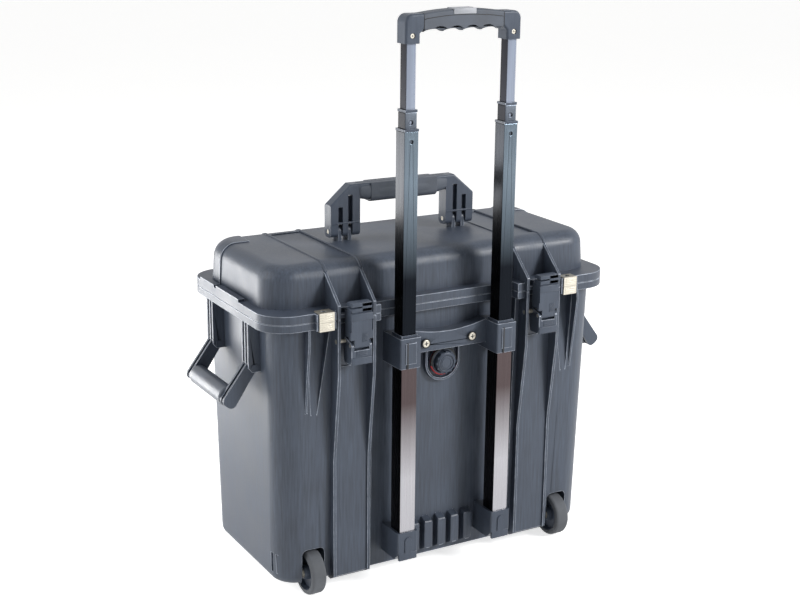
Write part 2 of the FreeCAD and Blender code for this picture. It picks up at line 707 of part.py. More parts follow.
def base_blocks():
    """The tub parted along planes, so that no piece of it goes round the inside."""
    far = S.rim_length
    end, side, gap = S.cut_end, S.cut_side, S.cut_bracket
    channel = S.channel_width / 2 - S.cut_step
    notch = S.rim_notch_width / 2 - S.cut_step
    floor = S.tub_bottom + S.floor_wall + S.cut_step
    rim = base_rim_low - S.cut_step
    corners = both_sides(end, far, -far, -gap) + both_sides(end, far, gap, far)
    return (
        ("floor", rectangle((-far, -far), (far, far)), -S.cut_step, floor),
        ("channel", rectangle((-channel, -far), (channel, -side)), floor, rim),
        ("front", both_sides(channel, end, -far, -side), floor, rim),
        ("rear", rectangle((-end, side), (end, far)), floor, rim),
        ("ends", both_sides(end, far, -gap, gap), floor, rim),
        ("corners", corners, floor, rim),
        ("arches", rectangle((-end, -side), (end, side)), floor, rim),
        ("rim_notch", rectangle((-notch, -far), (notch, -side)), rim, lid_top),
        ("rim_front", both_sides(notch, far, -far, -side), rim, lid_top),
        ("rim_rear", rectangle((-far, side), (far, far)), rim, lid_top),
        ("rim_ends", both_sides(end, far, -side, side), rim, lid_top),
    )


def guard_fins(added):
    """Pilasters with a ridge down each edge, which grow into the fins beside a latch or hinge."""
    half = S.fin_thickness / 2
    for facing in (-1, 1):
        inside = facing * channel_front
        wall = facing * S.tub_width / 2
        knee = S.tub_bottom + S.floor_wall
        panel = polygon((inside, S.tub_bottom), (wall, S.tub_bottom), (facing * S.pilaster_front, knee),
                        (facing * S.pilaster_front, S.fin_foot), (facing * S.bay_front, pilaster_top),
                        (inside, pilaster_top))
        fin = polygon((inside, S.tub_bottom), (wall, S.tub_bottom), (facing * S.ridge_front, knee),
                      (facing * S.ridge_front, S.fin_foot), (facing * S.fin_front, fin_knee),
                      (facing * S.fin_front, S.parting_height), (inside, S.parting_height))
        for _, side in SIDES:
            pad(added, "x", panel, *spread(side, fin_offsets[0], fin_offsets[1]))
            for offset in fin_offsets:
                pad(added, "x", fin, *spread(side, offset - half, offset + half))


def corner_ribs(added):
    """Thin ribs that run down from the rim beside the padlock bosses."""
    rib = polygon((-channel_front, S.flute_foot), (-S.tub_width / 2, S.flute_foot),
                  (-S.corner_rib_front, corner_rib_knee), (-S.corner_rib_front, base_rim_low),
                  (-channel_front, base_rim_low))
    half = S.corner_rib / 2
    for _, side in SIDES:
        pad(added, "x", rib, *spread(side, S.corner_rib_place - half, S.corner_rib_place + half))


def corner_flutes(removed):
    """Hollows beside the outer fins, deepest under the rim and fading to a point."""
    for _, side in SIDES:
        low, high = spread(side, S.flute_inner, S.flute_outer)
        tip = side * S.flute_tip
        half = S.flute_tip_width / 2
        loft(removed, "z", rectangle((low, -S.pilaster_front), (high, -S.flute_floor)), base_rim_low,
             rectangle((tip - half, -S.pilaster_front), (tip + half, -S.bay_front)), S.flute_foot)


def wheel_wells(added, removed):
    reach = S.wheel_radius + S.well_clearance
    well_top = S.wheel_radius + reach
    well_back = reach - S.wheel_front
    arch_low = S.tub_bottom + S.floor_wall / 2
    half = S.well_width / 2
    arches = []
    for _, side in SIDES:
        low, high = spread(side, S.wheel_place - half - S.well_wall, S.wheel_place + half + S.well_wall)
        arches.append(rectangle((low, -channel_front), (high, well_back + S.well_wall)))
    pad(added, "z", arches, arch_low, well_top + S.well_wall)
    well = polygon((-beyond, ZERO), (well_back, ZERO), (well_back, S.wheel_radius),
                   (well_back - S.wheel_radius / 2, well_top), (-beyond, well_top))
    seat = circle((-S.wheel_front, S.wheel_radius), S.axle_diameter + S.axle_fit)
    for _, side in SIDES:
        pad(removed, "x", well, *spread(side, S.wheel_place - half, S.wheel_place + half))
    fillet(removed, lambda edge: runs_along(edge, "y") and near(middle(edge).z, well_top), S.well_round)
    reach = half + S.axle_seat
    for _, side in SIDES:
        pad(removed, "x", seat, *spread(side, S.wheel_place - reach, S.wheel_place + reach))


SKID_STEPS = (-2, -1, 0, 1, 2)


def skid_ribs(added):
    slope = S.skid_front - channel_front
    back = S.rib_overlap - channel_front
    rib = polygon((back, S.skid_foot), (-channel_front, S.skid_foot), (-S.skid_front, S.skid_foot + slope / 2),
                  (-S.skid_front, S.skid_head - slope), (-channel_front, S.skid_head), (back, S.skid_head))
    for step in SKID_STEPS:
        centre = step * S.skid_pitch
        pad(added, "x", rib, centre - S.skid_width / 2, centre + S.skid_width / 2)


def end_slots(removed):
    """Two short upright slots near the front of each end wall."""
    half = S.vent_width / 2
    outlines = []
    for step in (-0.5, 0.5):
        centre = step * S.vent_pitch - S.vent_place
        outlines.append(rectangle((centre - half, S.vent_foot), (centre + half, S.vent_head)))
    for _, side in SIDES:
        wall = S.tub_length / 2
        pad(removed, "x", outlines, *spread(side, wall - S.vent_depth, wall + S.vent_depth))


def valve_guard(added, removed):
    """A U-shaped wall that stands round the valve, open towards the bridge."""
    inner = S.valve_guard / 2
    outer = inner + S.valve_guard_wall
    top = bridge_foot - S.knob_gap
    front = -channel_front - S.valve_guard_rise
    for body, reach, back in ((added, outer, S.rib_overlap - channel_front), (removed, inner, -channel_front)):
        trough = arched(((-reach, top), (-reach, valve_height), (reach, valve_height), (reach, top)),
                        1, (ZERO, valve_height - reach))
        pad(body, "y", trough, front, back)


def side_brackets(added, removed):
    """Three thin fins under the rim carry each arm of a side handle."""
    eye = S.side_eye / 2
    inside = S.tub_length / 2 - S.rib_overlap
    outlines = []
    holes = []
    for _, side in SIDES:
        outlines.append(polygon((side * inside, base_rim_low), (side * S.bracket_reach, base_rim_low),
                                (side * S.bracket_reach, side_pivot_height),
                                (side * (S.side_pivot_offset + eye / 2), side_pivot_height - eye),
                                (side * inside, side_pivot_height - eye)))
        holes.append(circle((side * S.side_pivot_offset, side_pivot_height), S.pivot_hole))
    for end in (-1, 1):
        for step in (-1, 0, 1):
            centre = end * S.side_arm_place + step * S.bracket_fin_pitch
            pad(added, "y", outlines, centre - S.bracket_fin / 2, centre + S.bracket_fin / 2)
    reach = S.side_arm_place + S.bracket_fin_pitch + S.bracket_fin
    pad(removed, "y", holes, -reach, reach)


def hinge_knuckles(added, removed, owner):
    """Two outer knuckles in each hinge bay for the base, or the one between them for the lid."""
    inner = fin_offsets[0] + S.fin_thickness / 2
    outer = fin_offsets[1] - S.fin_thickness / 2
    radius = S.knuckle_diameter / 2
    slant = radius * math.sqrt(0.5)
    far = S.hinge_offset + slant
    if owner == "base":
        spans = ((inner, inner + S.knuckle_width), (outer - S.knuckle_width, outer))
        knuckle = arched(((channel_front, web_foot), (S.bay_front, web_foot), (far, hinge_height - slant),
                          (S.hinge_offset - slant, hinge_height + slant), (S.hinge_offset - radius, S.parting_height),
                          (channel_front, S.parting_height)), 2, (far, hinge_height + slant))
    else:
        step = S.knuckle_width + S.knuckle_gap
        spans = ((inner + step, outer - step),)
        knuckle = arched(((channel_front, lid_low), (S.hinge_offset - radius, lid_low),
                          (S.hinge_offset - slant, hinge_height - slant), (far, hinge_height + slant),
                          (S.rim_width / 2, lid_rim_top + radius), (channel_front, lid_rim_top + radius)),
                         2, (far, hinge_height - slant))
    hole = circle((S.hinge_offset, hinge_height), S.hinge_hole)
    for _, side in SIDES:
        for span in spans:
            pad(added, "x", knuckle, *spread(side, *span))
        pad(removed, "x", hole, *spread(side, inner, outer))


def base_holes(removed):
    latch_axis = (-S.latch_pivot_front, latch_pivot_height)
    for _, side in SIDES:
        pad(removed, "x", circle(latch_axis, S.latch_pin + S.latch_fit),
            *spread(side, fin_offsets[0] - S.fin_thickness, fin_offsets[1] + S.fin_thickness))
    pad(removed, "z", padlock_bores(), base_rim_low, S.parting_height)
    screws = [circle((side * S.screw_place, screw_height), S.screw_hole) for _, side in SIDES]
    pad(removed, "y", screws, -channel_front, S.screw_bite + S.screw_end_gap - channel_front)
    pad(removed, "y", circle((ZERO, valve_height), S.valve_barrel + S.valve_fit),
        -channel_front, -S.cavity_width / 2)


def hinge_pins():
    body = new_body("hinge_pins")
    for _, side in SIDES:
        low, high = spread(side, fin_offsets[0] + S.fin_thickness / 2, fin_offsets[1] - S.fin_thickness / 2)
        pad(body, "x", circle((S.hinge_offset, hinge_height), S.hinge_pin), low, high)


def latch_pins():
    body = new_body("latch_pins")
    for _, side in SIDES:
        low, high = spread(side, fin_offsets[0] - S.fin_thickness / 2, fin_offsets[1] + S.fin_thickness / 2)
        pad(body, "x", circle((-S.latch_pivot_front, latch_pivot_height), S.latch_pin), low, high)


def padlock_plates(name, seat, lip_end):
    """Bent sheet plates: a drilled leaf on the rim's flat side and a lip over the boss's front."""
    body = new_body(name)
    upward = seat.value > lip_end.value
    leaf = (seat, seat + S.plate_sheet) if upward else (seat - S.plate_sheet, seat)
    lip = (lip_end, seat + S.plate_sheet) if upward else (seat - S.plate_sheet, lip_end)
    for _, side in SIDES:
        low, high = spread(side, S.padlock_place - S.plate_width / 2, S.padlock_place + S.plate_width / 2)
        pad(body, "z", rectangle((low, -S.padlock_front), (high, S.plate_reach - S.padlock_front)), *leaf)
        pad(body, "z", rectangle((low, -S.padlock_front - S.plate_sheet), (high, -S.padlock_front)), *lip)
    cut(body, "z", padlock_bores(), *leaf)


def side_handle_pins():
    body = new_body("side_handle_pins")
    reach = S.bracket_fin_pitch + S.bracket_fin / 2
    for _, side in SIDES:
        for end in (-1, 1):
            arm = end * S.side_arm_place
            axis = (side * S.side_pivot_offset, side_pivot_height)
            pad(body, "y", circle(axis, S.pivot_pin), arm - reach, arm + reach)
            for face in (-1, 1):
                low, high = spread(face, reach, reach + S.side_head_rise)
                pad(body, "y", circle(axis, S.side_head), arm + low, arm + high)


def valve():
    axis = (ZERO, valve_height)
    flange_front = channel_front + S.valve_flange_depth
    inside = S.cavity_width / 2
    body = new_body("valve_body")
    pad(body, "y", circle(axis, S.valve_flange), -flange_front, -channel_front)
    pad(body, "y", circle(axis, S.valve_barrel), -channel_front,
        S.valve_nut_depth - inside + S.valve_flange_depth)
    stem_room = S.knob_stem + S.valve_fit
    cut(body, "y", circle(axis, stem_room), -flange_front, -inside)
    nut = new_body("valve_nut")
    pad(nut, "y", [circle(axis, S.valve_nut), circle(axis, S.valve_barrel + S.valve_fit)],
        -inside, S.valve_nut_depth - inside)
    ring = new_body("valve_seal")
    wire = circle((-flange_front - S.valve_ring_wire / 2, S.valve_ring / 2), S.valve_ring_wire)
    revolve(ring, wire, "Y_Axis", "x")
    place(ring, z=valve_height)
    knob = new_body("valve_knob")
    back = flange_front + S.knob_gap
    pad(knob, "y", circle(axis, S.knob_diameter), -back - S.knob_depth, -back)
    pad(knob, "y", circle(axis, S.knob_stem), -back, -inside - S.knob_gap)
    fillet(knob, lambda edge: near(edge.BoundBox.YMin, -back - S.knob_depth), S.knob_round)
    cut(knob, "y", [circle(axis, S.knob_ring), circle(axis, S.knob_ring - 2 * S.knob_ring_width)],
        -back - S.knob_depth, S.knob_ring_depth - back - S.knob_depth)


def wheel_axles():
    body = new_body("wheel_axles")
    reach = S.well_width / 2 + S.axle_seat - S.axle_fit
    for _, side in SIDES:
        low, high = spread(side, S.wheel_place - reach, S.wheel_place + reach)
        pad(body, "x", circle((-S.wheel_front, S.wheel_radius), S.axle_diameter), low, high)


def rear_feet():
    body = new_body("rear_feet")
    for _, side in SIDES:
        pad(body, "z", centred((side * S.foot_place, S.foot_offset), S.foot_length, S.foot_width),
            ZERO, S.tub_bottom)
    chamfer(body, lambda edge: near(edge.BoundBox.ZMax, ZERO), S.foot_bevel)


# Trolley

STAGES = ("outer", "lower", "middle", "upper")


def stage_size(stage):
    """Outside width and depth of a trolley stage, each one nested in the one before."""
    step = 2 * (S.tube_wall + S.tube_gap) * STAGES.index(stage)
    return S.outer_tube_width - step, S.outer_tube_depth - step


def frame_outline(side, width, depth, wall):
    centre = (side * S.trolley_place, -S.trolley_front)
    return [centred(centre, width, depth), centred(centre, width - 2 * wall, depth - 2 * wall)]


def tubes(stage, low, high, locked=False):
    width, depth = stage_size(stage)
    for name, side in SIDES:
        body = new_body(f"{stage}_tube_{name}")
        pad(body, "z", frame_outline(side, width, depth, S.tube_wall), low, high)
        if locked:
            cut(body, "y", circle((side * S.trolley_place, high - S.lock_hole_drop), S.lock_hole),
                -S.trolley_front - depth, -S.trolley_front)


def tube_caps(stage, top):
    """Plastic rings on the tubes' ends, which guide the next stage."""
    body = new_body(f"{stage}_tube_caps")
    width, depth = stage_size(stage)
    for _, side in SIDES:
        outline = frame_outline(side, width + 2 * S.cap_proud, depth + 2 * S.cap_proud,
                                S.tube_wall + S.cap_proud)
        pad(body, "z", outline, top, top + S.cap_depth)


def tube_shoes(stage, foot):
    """Plastic plugs in the tubes' lower ends."""
    body = new_body(f"{stage}_tube_shoes")
    width, depth = stage_size(stage)
    for _, side in SIDES:
        centre = (side * S.trolley_place, -S.trolley_front)
        pad(body, "z", centred(centre, width, depth), foot - S.shoe_depth, foot)
        wall = 2 * S.tube_wall
        pad(body, "z", centred(centre, width - wall, depth - wall), foot, foot + S.shoe_spigot)


def bottom_brackets():
    width, depth = stage_size("outer")
    for name, side in SIDES:
        body = new_body(f"bottom_bracket_{name}")
        low, high = spread(side, S.trolley_place - S.collar_width / 2, S.trolley_place + S.collar_width / 2)
        slope = (S.bracket_head - S.bracket_foot) / 4
        outline = polygon((-channel_front, S.bracket_foot), (slope - S.bracket_front, S.bracket_foot),
                          (-S.bracket_front, S.bracket_foot + slope), (-S.bracket_front, S.bracket_head),
                          (-channel_front, S.bracket_head))
        pad(body, "x", outline, low, high)
        cut(body, "z", centred((side * S.trolley_place, -S.trolley_front), width, depth),
            S.outer_tube_foot, S.bracket_head)
        fillet(body, lambda edge: runs_along(edge, "z") and near(middle(edge).y, -S.bracket_front),
               S.collar_round)
        half = S.rail_width / 2
        foot = S.bracket_foot + slope
        centre = side * S.trolley_place
        rail = arched(((centre - half, foot), (centre + half, foot), (centre + half, S.rail_head - half),
                       (centre - half, S.rail_head - half)), 2, (centre, S.rail_head))
        pad(body, "y", rail, -S.bracket_front - S.badge_rise, -S.bracket_front)


def upper_bracket():
    body = new_body("upper_bracket")
    low = collar_top - S.collar_height
    width, depth = stage_size("outer")
    joint = S.trolley_place - S.collar_width / 2
    bridge = arched(((-joint, bridge_foot), (joint, bridge_foot), (joint, bridge_head), (-joint, bridge_head)),
                    2, (ZERO, bridge_head - S.bridge_sag))
    pad(body, "y", bridge, -S.bridge_front, -channel_front)
    for _, side in SIDES:
        inner, outer = spread(side, joint, S.trolley_place + S.collar_width / 2)
        pad(body, "z", rectangle((inner, -S.collar_front), (outer, -channel_front)), low, collar_top)
        cut(body, "z", centred((side * S.trolley_place, -S.trolley_front), width, depth), low, collar_top)
        hole = circle((side * S.screw_place, screw_height), S.screw_hole)
        cut(body, "y", hole, -S.bridge_front, -channel_front)
    fillet(body, lambda edge: runs_along(edge, "z") and near(middle(edge).y, -S.collar_front), S.collar_round)
    badges = [centred((side * S.trolley_place, low + S.collar_height / 2), S.badge_width, S.badge_height)
              for _, side in SIDES]
    pad(body, "y", badges, -S.collar_front - S.badge_rise, -S.collar_front)


def bracket_screws():
    body = new_body("bracket_screws")
    for _, side in SIDES:
        axis = (side * S.screw_place, screw_height)
        pad(body, "y", circle(axis, S.screw_head), -S.bridge_front - S.screw_head_depth, -S.bridge_front)
        pad(body, "y", circle(axis, S.screw_shank), -S.bridge_front, S.screw_bite - channel_front)
    fillet(body, lambda edge: near(edge.BoundBox.YMax, -S.bridge_front - S.screw_head_depth), S.screw_round)


def trolley():
    tubes("outer", S.outer_tube_foot, collar_top)
    tube_caps("outer", collar_top)
    bottom_brackets()
    upper_bracket()
    bracket_screws()
    stages = (("lower", lower_tube_foot, lower_tube_top), ("middle", middle_tube_foot, middle_tube_top))
    for stage, foot, top in stages:
        tubes(stage, foot, top, locked=True)
        tube_caps(stage, top)
        tube_shoes(stage, foot)
    tubes("upper", upper_tube_foot, upper_tube_top)
    tube_shoes("upper", upper_tube_foot)
    trolley_grip()


def trolley_grip():
    width, depth = stage_size("upper")
    front = -S.trolley_front - S.grip_depth / 2
    back = S.grip_depth / 2 - S.trolley_front
    neck = S.trolley_place - width / 2 - S.elbow_wall
    for name, side in SIDES:
        body = new_body(f"grip_elbow_{name}")
        outline = polygon((side * S.grip_half_width, grip_foot), (side * neck, grip_foot),
                          (side * neck, grip_bar_foot - S.elbow_drop), (side * S.grip_bar_half, grip_bar_foot),
                          (side * S.grip_bar_half, grip_end_top), (side * S.grip_half_width, grip_end_top))
        pad(body, "y", outline, front, back)
        corner = lambda edge: (runs_along(edge, "y") and near(middle(edge).z, grip_end_top)
                               and near(abs(middle(edge).x), S.grip_half_width))
        fillet(body, corner, S.elbow_round)
        outer = lambda edge: (near(abs(middle(edge).y + S.trolley_front.value), S.grip_depth / 2)
                              and not near(abs(middle(edge).x), S.grip_bar_half)
                              and not near(middle(edge).z, grip_foot))
        fillet(body, outer, S.grip_edge_round)
        centre = (side * S.trolley_place, -S.trolley_front)
        cut(body, "z", centred(centre, width, depth), grip_foot, upper_tube_top)
        cut(body, "y", circle((side * S.trolley_place, grip_foot + S.grip_screw_rise), S.grip_screw_hole),
            front, -S.trolley_front - depth / 2)
    screws = new_body("grip_screws")
    for _, side in SIDES:
        pad(screws, "y", circle((side * S.trolley_place, grip_foot + S.grip_screw_rise), S.grip_screw_head),
            front + S.tube_wall, -S.trolley_front - depth / 2)
    grip_center(front, back)


SCALLOP_STEPS = (-1.5, -0.5, 0.5, 1.5)


def grip_center(front, back):
    body = new_body("grip_center")
    half = S.grip_bar_half
    crown = grip_end_top + S.grip_crown
    outline = arched(((-half, grip_bar_foot), (half, grip_bar_foot),
                      (half, grip_end_top), (-half, grip_end_top)),
                     2, (ZERO, crown))
    pad(body, "y", outline, front, back)
    fillet(body, lambda edge: middle(edge).z > grip_end_top.value, S.grip_edge_round)
    for step in SCALLOP_STEPS:
        centre = (step * S.scallop_pitch, grip_bar_foot + S.scallop_depth - S.scallop_radius)
        cut(body, "y", circle(centre, 2 * S.scallop_radius), front, back)
    middle_line = (ZERO, -S.trolley_front)
    button_top = crown + S.button_proud
    button_low = button_top - S.button_height
    gap = 2 * S.button_gap
    cut(body, "z", centred(middle_line, S.button_length + gap, S.button_width + gap),
        button_low - S.button_travel, crown)
    button = new_body("release_button")
    pad(button, "z", centred(middle_line, S.button_length, S.button_width), button_low, button_top)
    cut(button, "z", circle(middle_line, S.button_spring + gap), button_low, button_low + S.button_height / 2)
    fillet(button, lambda edge: near(edge.BoundBox.ZMin, button_top), S.button_round)
    button_spring(button_low - S.button_travel)


def button_spring(seat):
    wire = S.button_spring_wire
    mean = S.button_spring - wire
    body = new_body("button_spring")
    feature = body.newObject("PartDesign::AdditiveHelix", "button_spring_coil")
    feature.Profile = new_sketch(body, "y", [circle((mean / 2, wire / 2), wire)], ZERO)
    feature.ReferenceAxis = (origin_feature(body, "Z_Axis"), [""])
    feature.Mode = "pitch-turns-angle"
    bind(feature, "Turns", S.button_spring_turns)
    length = S.button_travel + S.button_height / 2
    bind(feature, "Pitch", (length - wire) / S.button_spring_turns)
    body.Tip = feature
    place(body, y=-S.trolley_front, z=seat)


# Lid

def lid_shell():
    core = tool_body("lid_dome")
    pad(core, "z", centred((ZERO, ZERO), S.lid_length, S.lid_width), lid_rim_top, lid_top, -S.lid_draft_angle)
    fillet(core, lambda edge: runs_along(edge, "z"), S.lid_corner)
    fillet(core, lambda edge: near(edge.BoundBox.ZMin, lid_top), S.lid_round)
    round_rim(core, lid_low, lid_rim_top)
    padlock_bosses(core, lid_low, lid_rim_top)
    trim_rim(core, lid_low, lid_rim_top, lid_low + S.keeper_depth)
    keepers = []
    for _, side in SIDES:
        low, high = spread(side, *fin_offsets)
        keepers.append(rectangle((low, -beyond), (high, -S.keeper_front)))
    cut(core, "z", keepers, lid_low, lid_low + S.keeper_depth)
    added = tool_body("lid_ribs")
    removed = tool_body("lid_openings")
    hollow_top = lid_top - S.lid_top_wall
    pad(removed, "z", centred((ZERO, ZERO), S.lid_cavity_length, S.lid_cavity_width), lid_low, hollow_top)
    fillet(removed, lambda edge: runs_along(edge, "z"), S.cavity_corner)
    fillet(removed, lambda edge: near(edge.BoundBox.ZMin, hollow_top), S.lid_round - S.lid_top_wall)
    rear_corners(added)
    end_lips(added)
    half = S.fin_thickness / 2
    for facing in (-1, 1):
        root = facing * S.lid_fin_root
        front = facing * S.fin_front
        fin = polygon((root, lid_low), (front, lid_low), (front, lid_fin_knee), (root, lid_fin_top))
        for _, side in SIDES:
            for offset in fin_offsets:
                pad(added, "x", fin, *spread(side, offset - half, offset + half))
    for _, side in SIDES:
        low, high = spread(side, fin_offsets[0] + half, fin_offsets[1] - half)
        panel = rectangle((low, -S.panel_front), (high, S.panel_front))
        pad(removed, "z", panel, lid_top - S.panel_depth, lid_top)
    pad(removed, "z", gasket_outline(), lid_low, lid_low + S.gasket_depth)
    pad(removed, "z", padlock_bores(), lid_low, lid_rim_top)
    hinge_knuckles(added, removed, "lid")
    top_lugs(added, removed)
    shell_of("lid_shell", core, added, removed, lid_blocks())


def lid_blocks():
    """The lid parted along planes, so that no piece of it goes round the inside."""
    far = S.rim_length
    end, side = S.lid_cut_end, S.lid_cut_side
    notch = S.rim_notch_width / 2 - S.cut_step
    head = lid_top - S.lid_cut_drop
    crown = lid_top + S.pad_rise + S.cut_step / 2
    everywhere = rectangle((-far, -far), (far, far))
    return (
        ("notch", rectangle((-notch, -far), (notch, -side)), ZERO, head),
        ("front", both_sides(notch, far, -far, -side), ZERO, head),
        ("rear", rectangle((-far, side), (far, far)), ZERO, head),
        ("ends", both_sides(end, far, -side, side), ZERO, head),
        ("top", everywhere, head, crown),
        ("lugs", everywhere, crown, top_bar_height),
    )


def rear_corners(added):
    """The dome's two rear corners, a little larger than the dome."""
    step = 2 * S.pad_rise
    top = lid_top + S.pad_rise
    corner = centred((ZERO, ZERO), S.lid_length + step, S.lid_width + step)
    pad(added, "z", corner, lid_rim_top, top, -S.lid_draft_angle)
    fillet(added, lambda edge: runs_along(edge, "z"), S.lid_corner + S.pad_rise)
    fillet(added, lambda edge: near(edge.BoundBox.ZMin, top), S.lid_round + S.pad_rise)
    cut(added, "z", rectangle((-S.pad_place, -beyond), (S.pad_place, beyond)), lid_rim_top, top)
    cut(added, "z", rectangle((-beyond, -beyond), (beyond, S.pad_front)), lid_rim_top, top)


def end_lips(added):
    """Raised lips on both ends of the lid's rim."""
    outlines = []
    for _, side in SIDES:
        low, high = spread(side, S.rim_length / 2 - S.lip_inset, S.rim_length / 2)
        outlines.append(rectangle((low, -S.lip_front), (high, S.lip_back)))
        outlines.append(rectangle((low, S.lip_back + S.lip_gap), (high, S.lip_end)))
    pad(added, "z", outlines, lid_rim_top - S.rib_overlap, lid_rim_top + S.lip_rise)


def gasket_outline():
    length = S.cavity_length + 2 * S.gasket_inset
    width = S.cavity_width + 2 * S.gasket_inset
    step = 2 * S.gasket_width
    centre = (ZERO, ZERO)
    return [centred(centre, length, width), centred(centre, length - step, width - step)]


def lid_gasket():
    body = new_body("lid_gasket")
    pad(body, "z", gasket_outline(), lid_low, lid_low + S.gasket_depth)


def top_lugs(added, removed):
    eye = S.pivot_eye / 2
    axis = (S.top_handle_offset, top_pivot_height)
    foot = lid_top - S.lid_top_wall / 2
    lug = arched(((axis[0] - eye, foot), (axis[0] + eye, foot),
                  (axis[0] + eye, axis[1]), (axis[0] - eye, axis[1])),
                 2, (axis[0], axis[1] + eye))
    reach = S.top_leg_width / 2
    for _, side in SIDES:
        for step in (-0.5, 0.5):
            centre = side * S.top_leg_place + step * S.top_lug_pitch
            pad(added, "x", lug, centre - S.top_lug_width / 2, centre + S.top_lug_width / 2)
        leg = side * S.top_leg_place
        pad(removed, "x", circle(axis, S.pivot_hole), leg - reach, leg + reach)


def top_handle_pins():
    body = new_body("top_handle_pins")
    axis = (S.top_handle_offset, top_pivot_height)
    reach = S.top_leg_width / 2 - S.lid_gap
    for _, side in SIDES:
        centre = side * S.top_leg_place
        pad(body, "x", circle(axis, S.pivot_pin), centre - reach, centre + reach)


def top_handle():
    frame = new_body("top_handle_frame")
    front = S.top_handle_offset - S.top_leg_depth / 2
    back = S.top_handle_offset + S.top_leg_depth / 2
    outer = S.top_leg_place + S.top_leg_width / 2
    inner = S.top_leg_place - S.top_leg_width / 2
    foot = top_pivot_height - S.pivot_eye / 2
    bar_low = top_bar_height - S.top_bar_depth
    outline = polygon((-outer, foot), (-inner, foot), (-inner, bar_low),
                      (inner, bar_low), (inner, foot), (outer, foot),
                      (outer, top_shoulder_height), (S.top_knee_place, top_bar_height),
                      (-S.top_knee_place, top_bar_height), (-outer, top_shoulder_height))
    pad(frame, "y", outline, front, back)
    axis = (S.top_handle_offset, top_pivot_height)
    fillet(frame, lambda edge: not runs_along(edge, "y") and middle(edge).z > top_shoulder_height.value,
           S.top_edge_round)
    for _, side in SIDES:
        for step, slot_top in ((-0.5, top_inner_head), (0.5, top_window_head)):
            centre = side * (S.top_leg_place + step * S.top_lug_pitch)
            half = S.top_lug_width / 2 + S.top_lug_gap
            cut(frame, "x", rectangle((front, foot), (back, slot_top)), centre - half, centre + half)
        low, high = spread(side, inner, outer)
        cut(frame, "x", circle(axis, S.pivot_hole), low, high)
    fillet(frame, lambda edge: runs_along(edge, "x", 0.01) and near(middle(edge).z, foot), S.top_leg_round)
    grip = new_body("top_handle_grip")
    centre = (S.top_handle_offset, top_bar_height - S.top_grip_height / 2)
    half = S.top_grip_length / 2
    section = [centred(centre, S.top_grip_depth, S.top_grip_height),
               rectangle((front, bar_low), (back, top_bar_height))]
    pad(grip, "x", section[0], -half, half)
    cut(grip, "x", section[1], -half, half)
    grip_low = top_bar_height - S.top_grip_height
    fillet(grip, lambda edge: runs_along(edge, "x") and near(middle(edge).z, grip_low), S.top_grip_round)


def side_handles():
    """Built hanging straight down at its axis, then tilted to where it rests."""
    eye = S.side_eye / 2
    reach = S.bracket_fin_pitch / 2 + S.prong_thickness / 2
    grip_axis = (ZERO, -S.side_arm_length)
    toe = -S.side_arm_length - S.side_arm_toe
    for name, side in SIDES:
        frame = new_body(f"side_handle_{name}")
        plate = polygon((-side * eye, ZERO), (ZERO, eye), (side * S.side_arm_shoulder, ZERO),
                        (side * S.side_arm_width / 2, toe), (-side * S.side_arm_width / 2, toe))
        for end in (-1, 1):
            arm = end * S.side_arm_place
            for step in (-0.5, 0.5):
                centre = arm + step * S.bracket_fin_pitch
                low, high = centre - S.prong_thickness / 2, centre + S.prong_thickness / 2
                pad(frame, "y", circle((ZERO, ZERO), S.side_eye), low, high)
                pad(frame, "y", plate, low, high)
            cut(frame, "y", circle((ZERO, ZERO), S.pivot_hole), arm - reach, arm + reach)
            pad(frame, "y", circle(grip_axis, S.side_bar_diameter), arm - reach, arm + reach)
        fillet(frame, lambda edge: runs_along(edge, "y") and near(middle(edge).z, toe), S.side_arm_round)
        pad(frame, "y", circle(grip_axis, S.side_bar_diameter), -S.side_arm_place, S.side_arm_place)
        grip = new_body(f"side_grip_{name}")
        half = S.side_arm_place - reach
        pad(grip, "y", circle(grip_axis, S.side_grip_diameter), -half, half)
        round_end = (S.side_grip_diameter - S.side_grip_end) / 2
        fillet(grip, lambda edge: near(abs(middle(edge).y), half), round_end)
        cut(grip, "y", circle(grip_axis, S.side_bar_diameter), -half, half)
        for body in (frame, grip):
            place(body, x=side * S.side_pivot_offset, z=side_pivot_height)
            body.setExpression("Placement.Rotation.Angle", (side * S.side_rest_angle).text)
            body.Placement.Rotation.Axis = FreeCAD.Vector(0, -1, 0)


# Latches

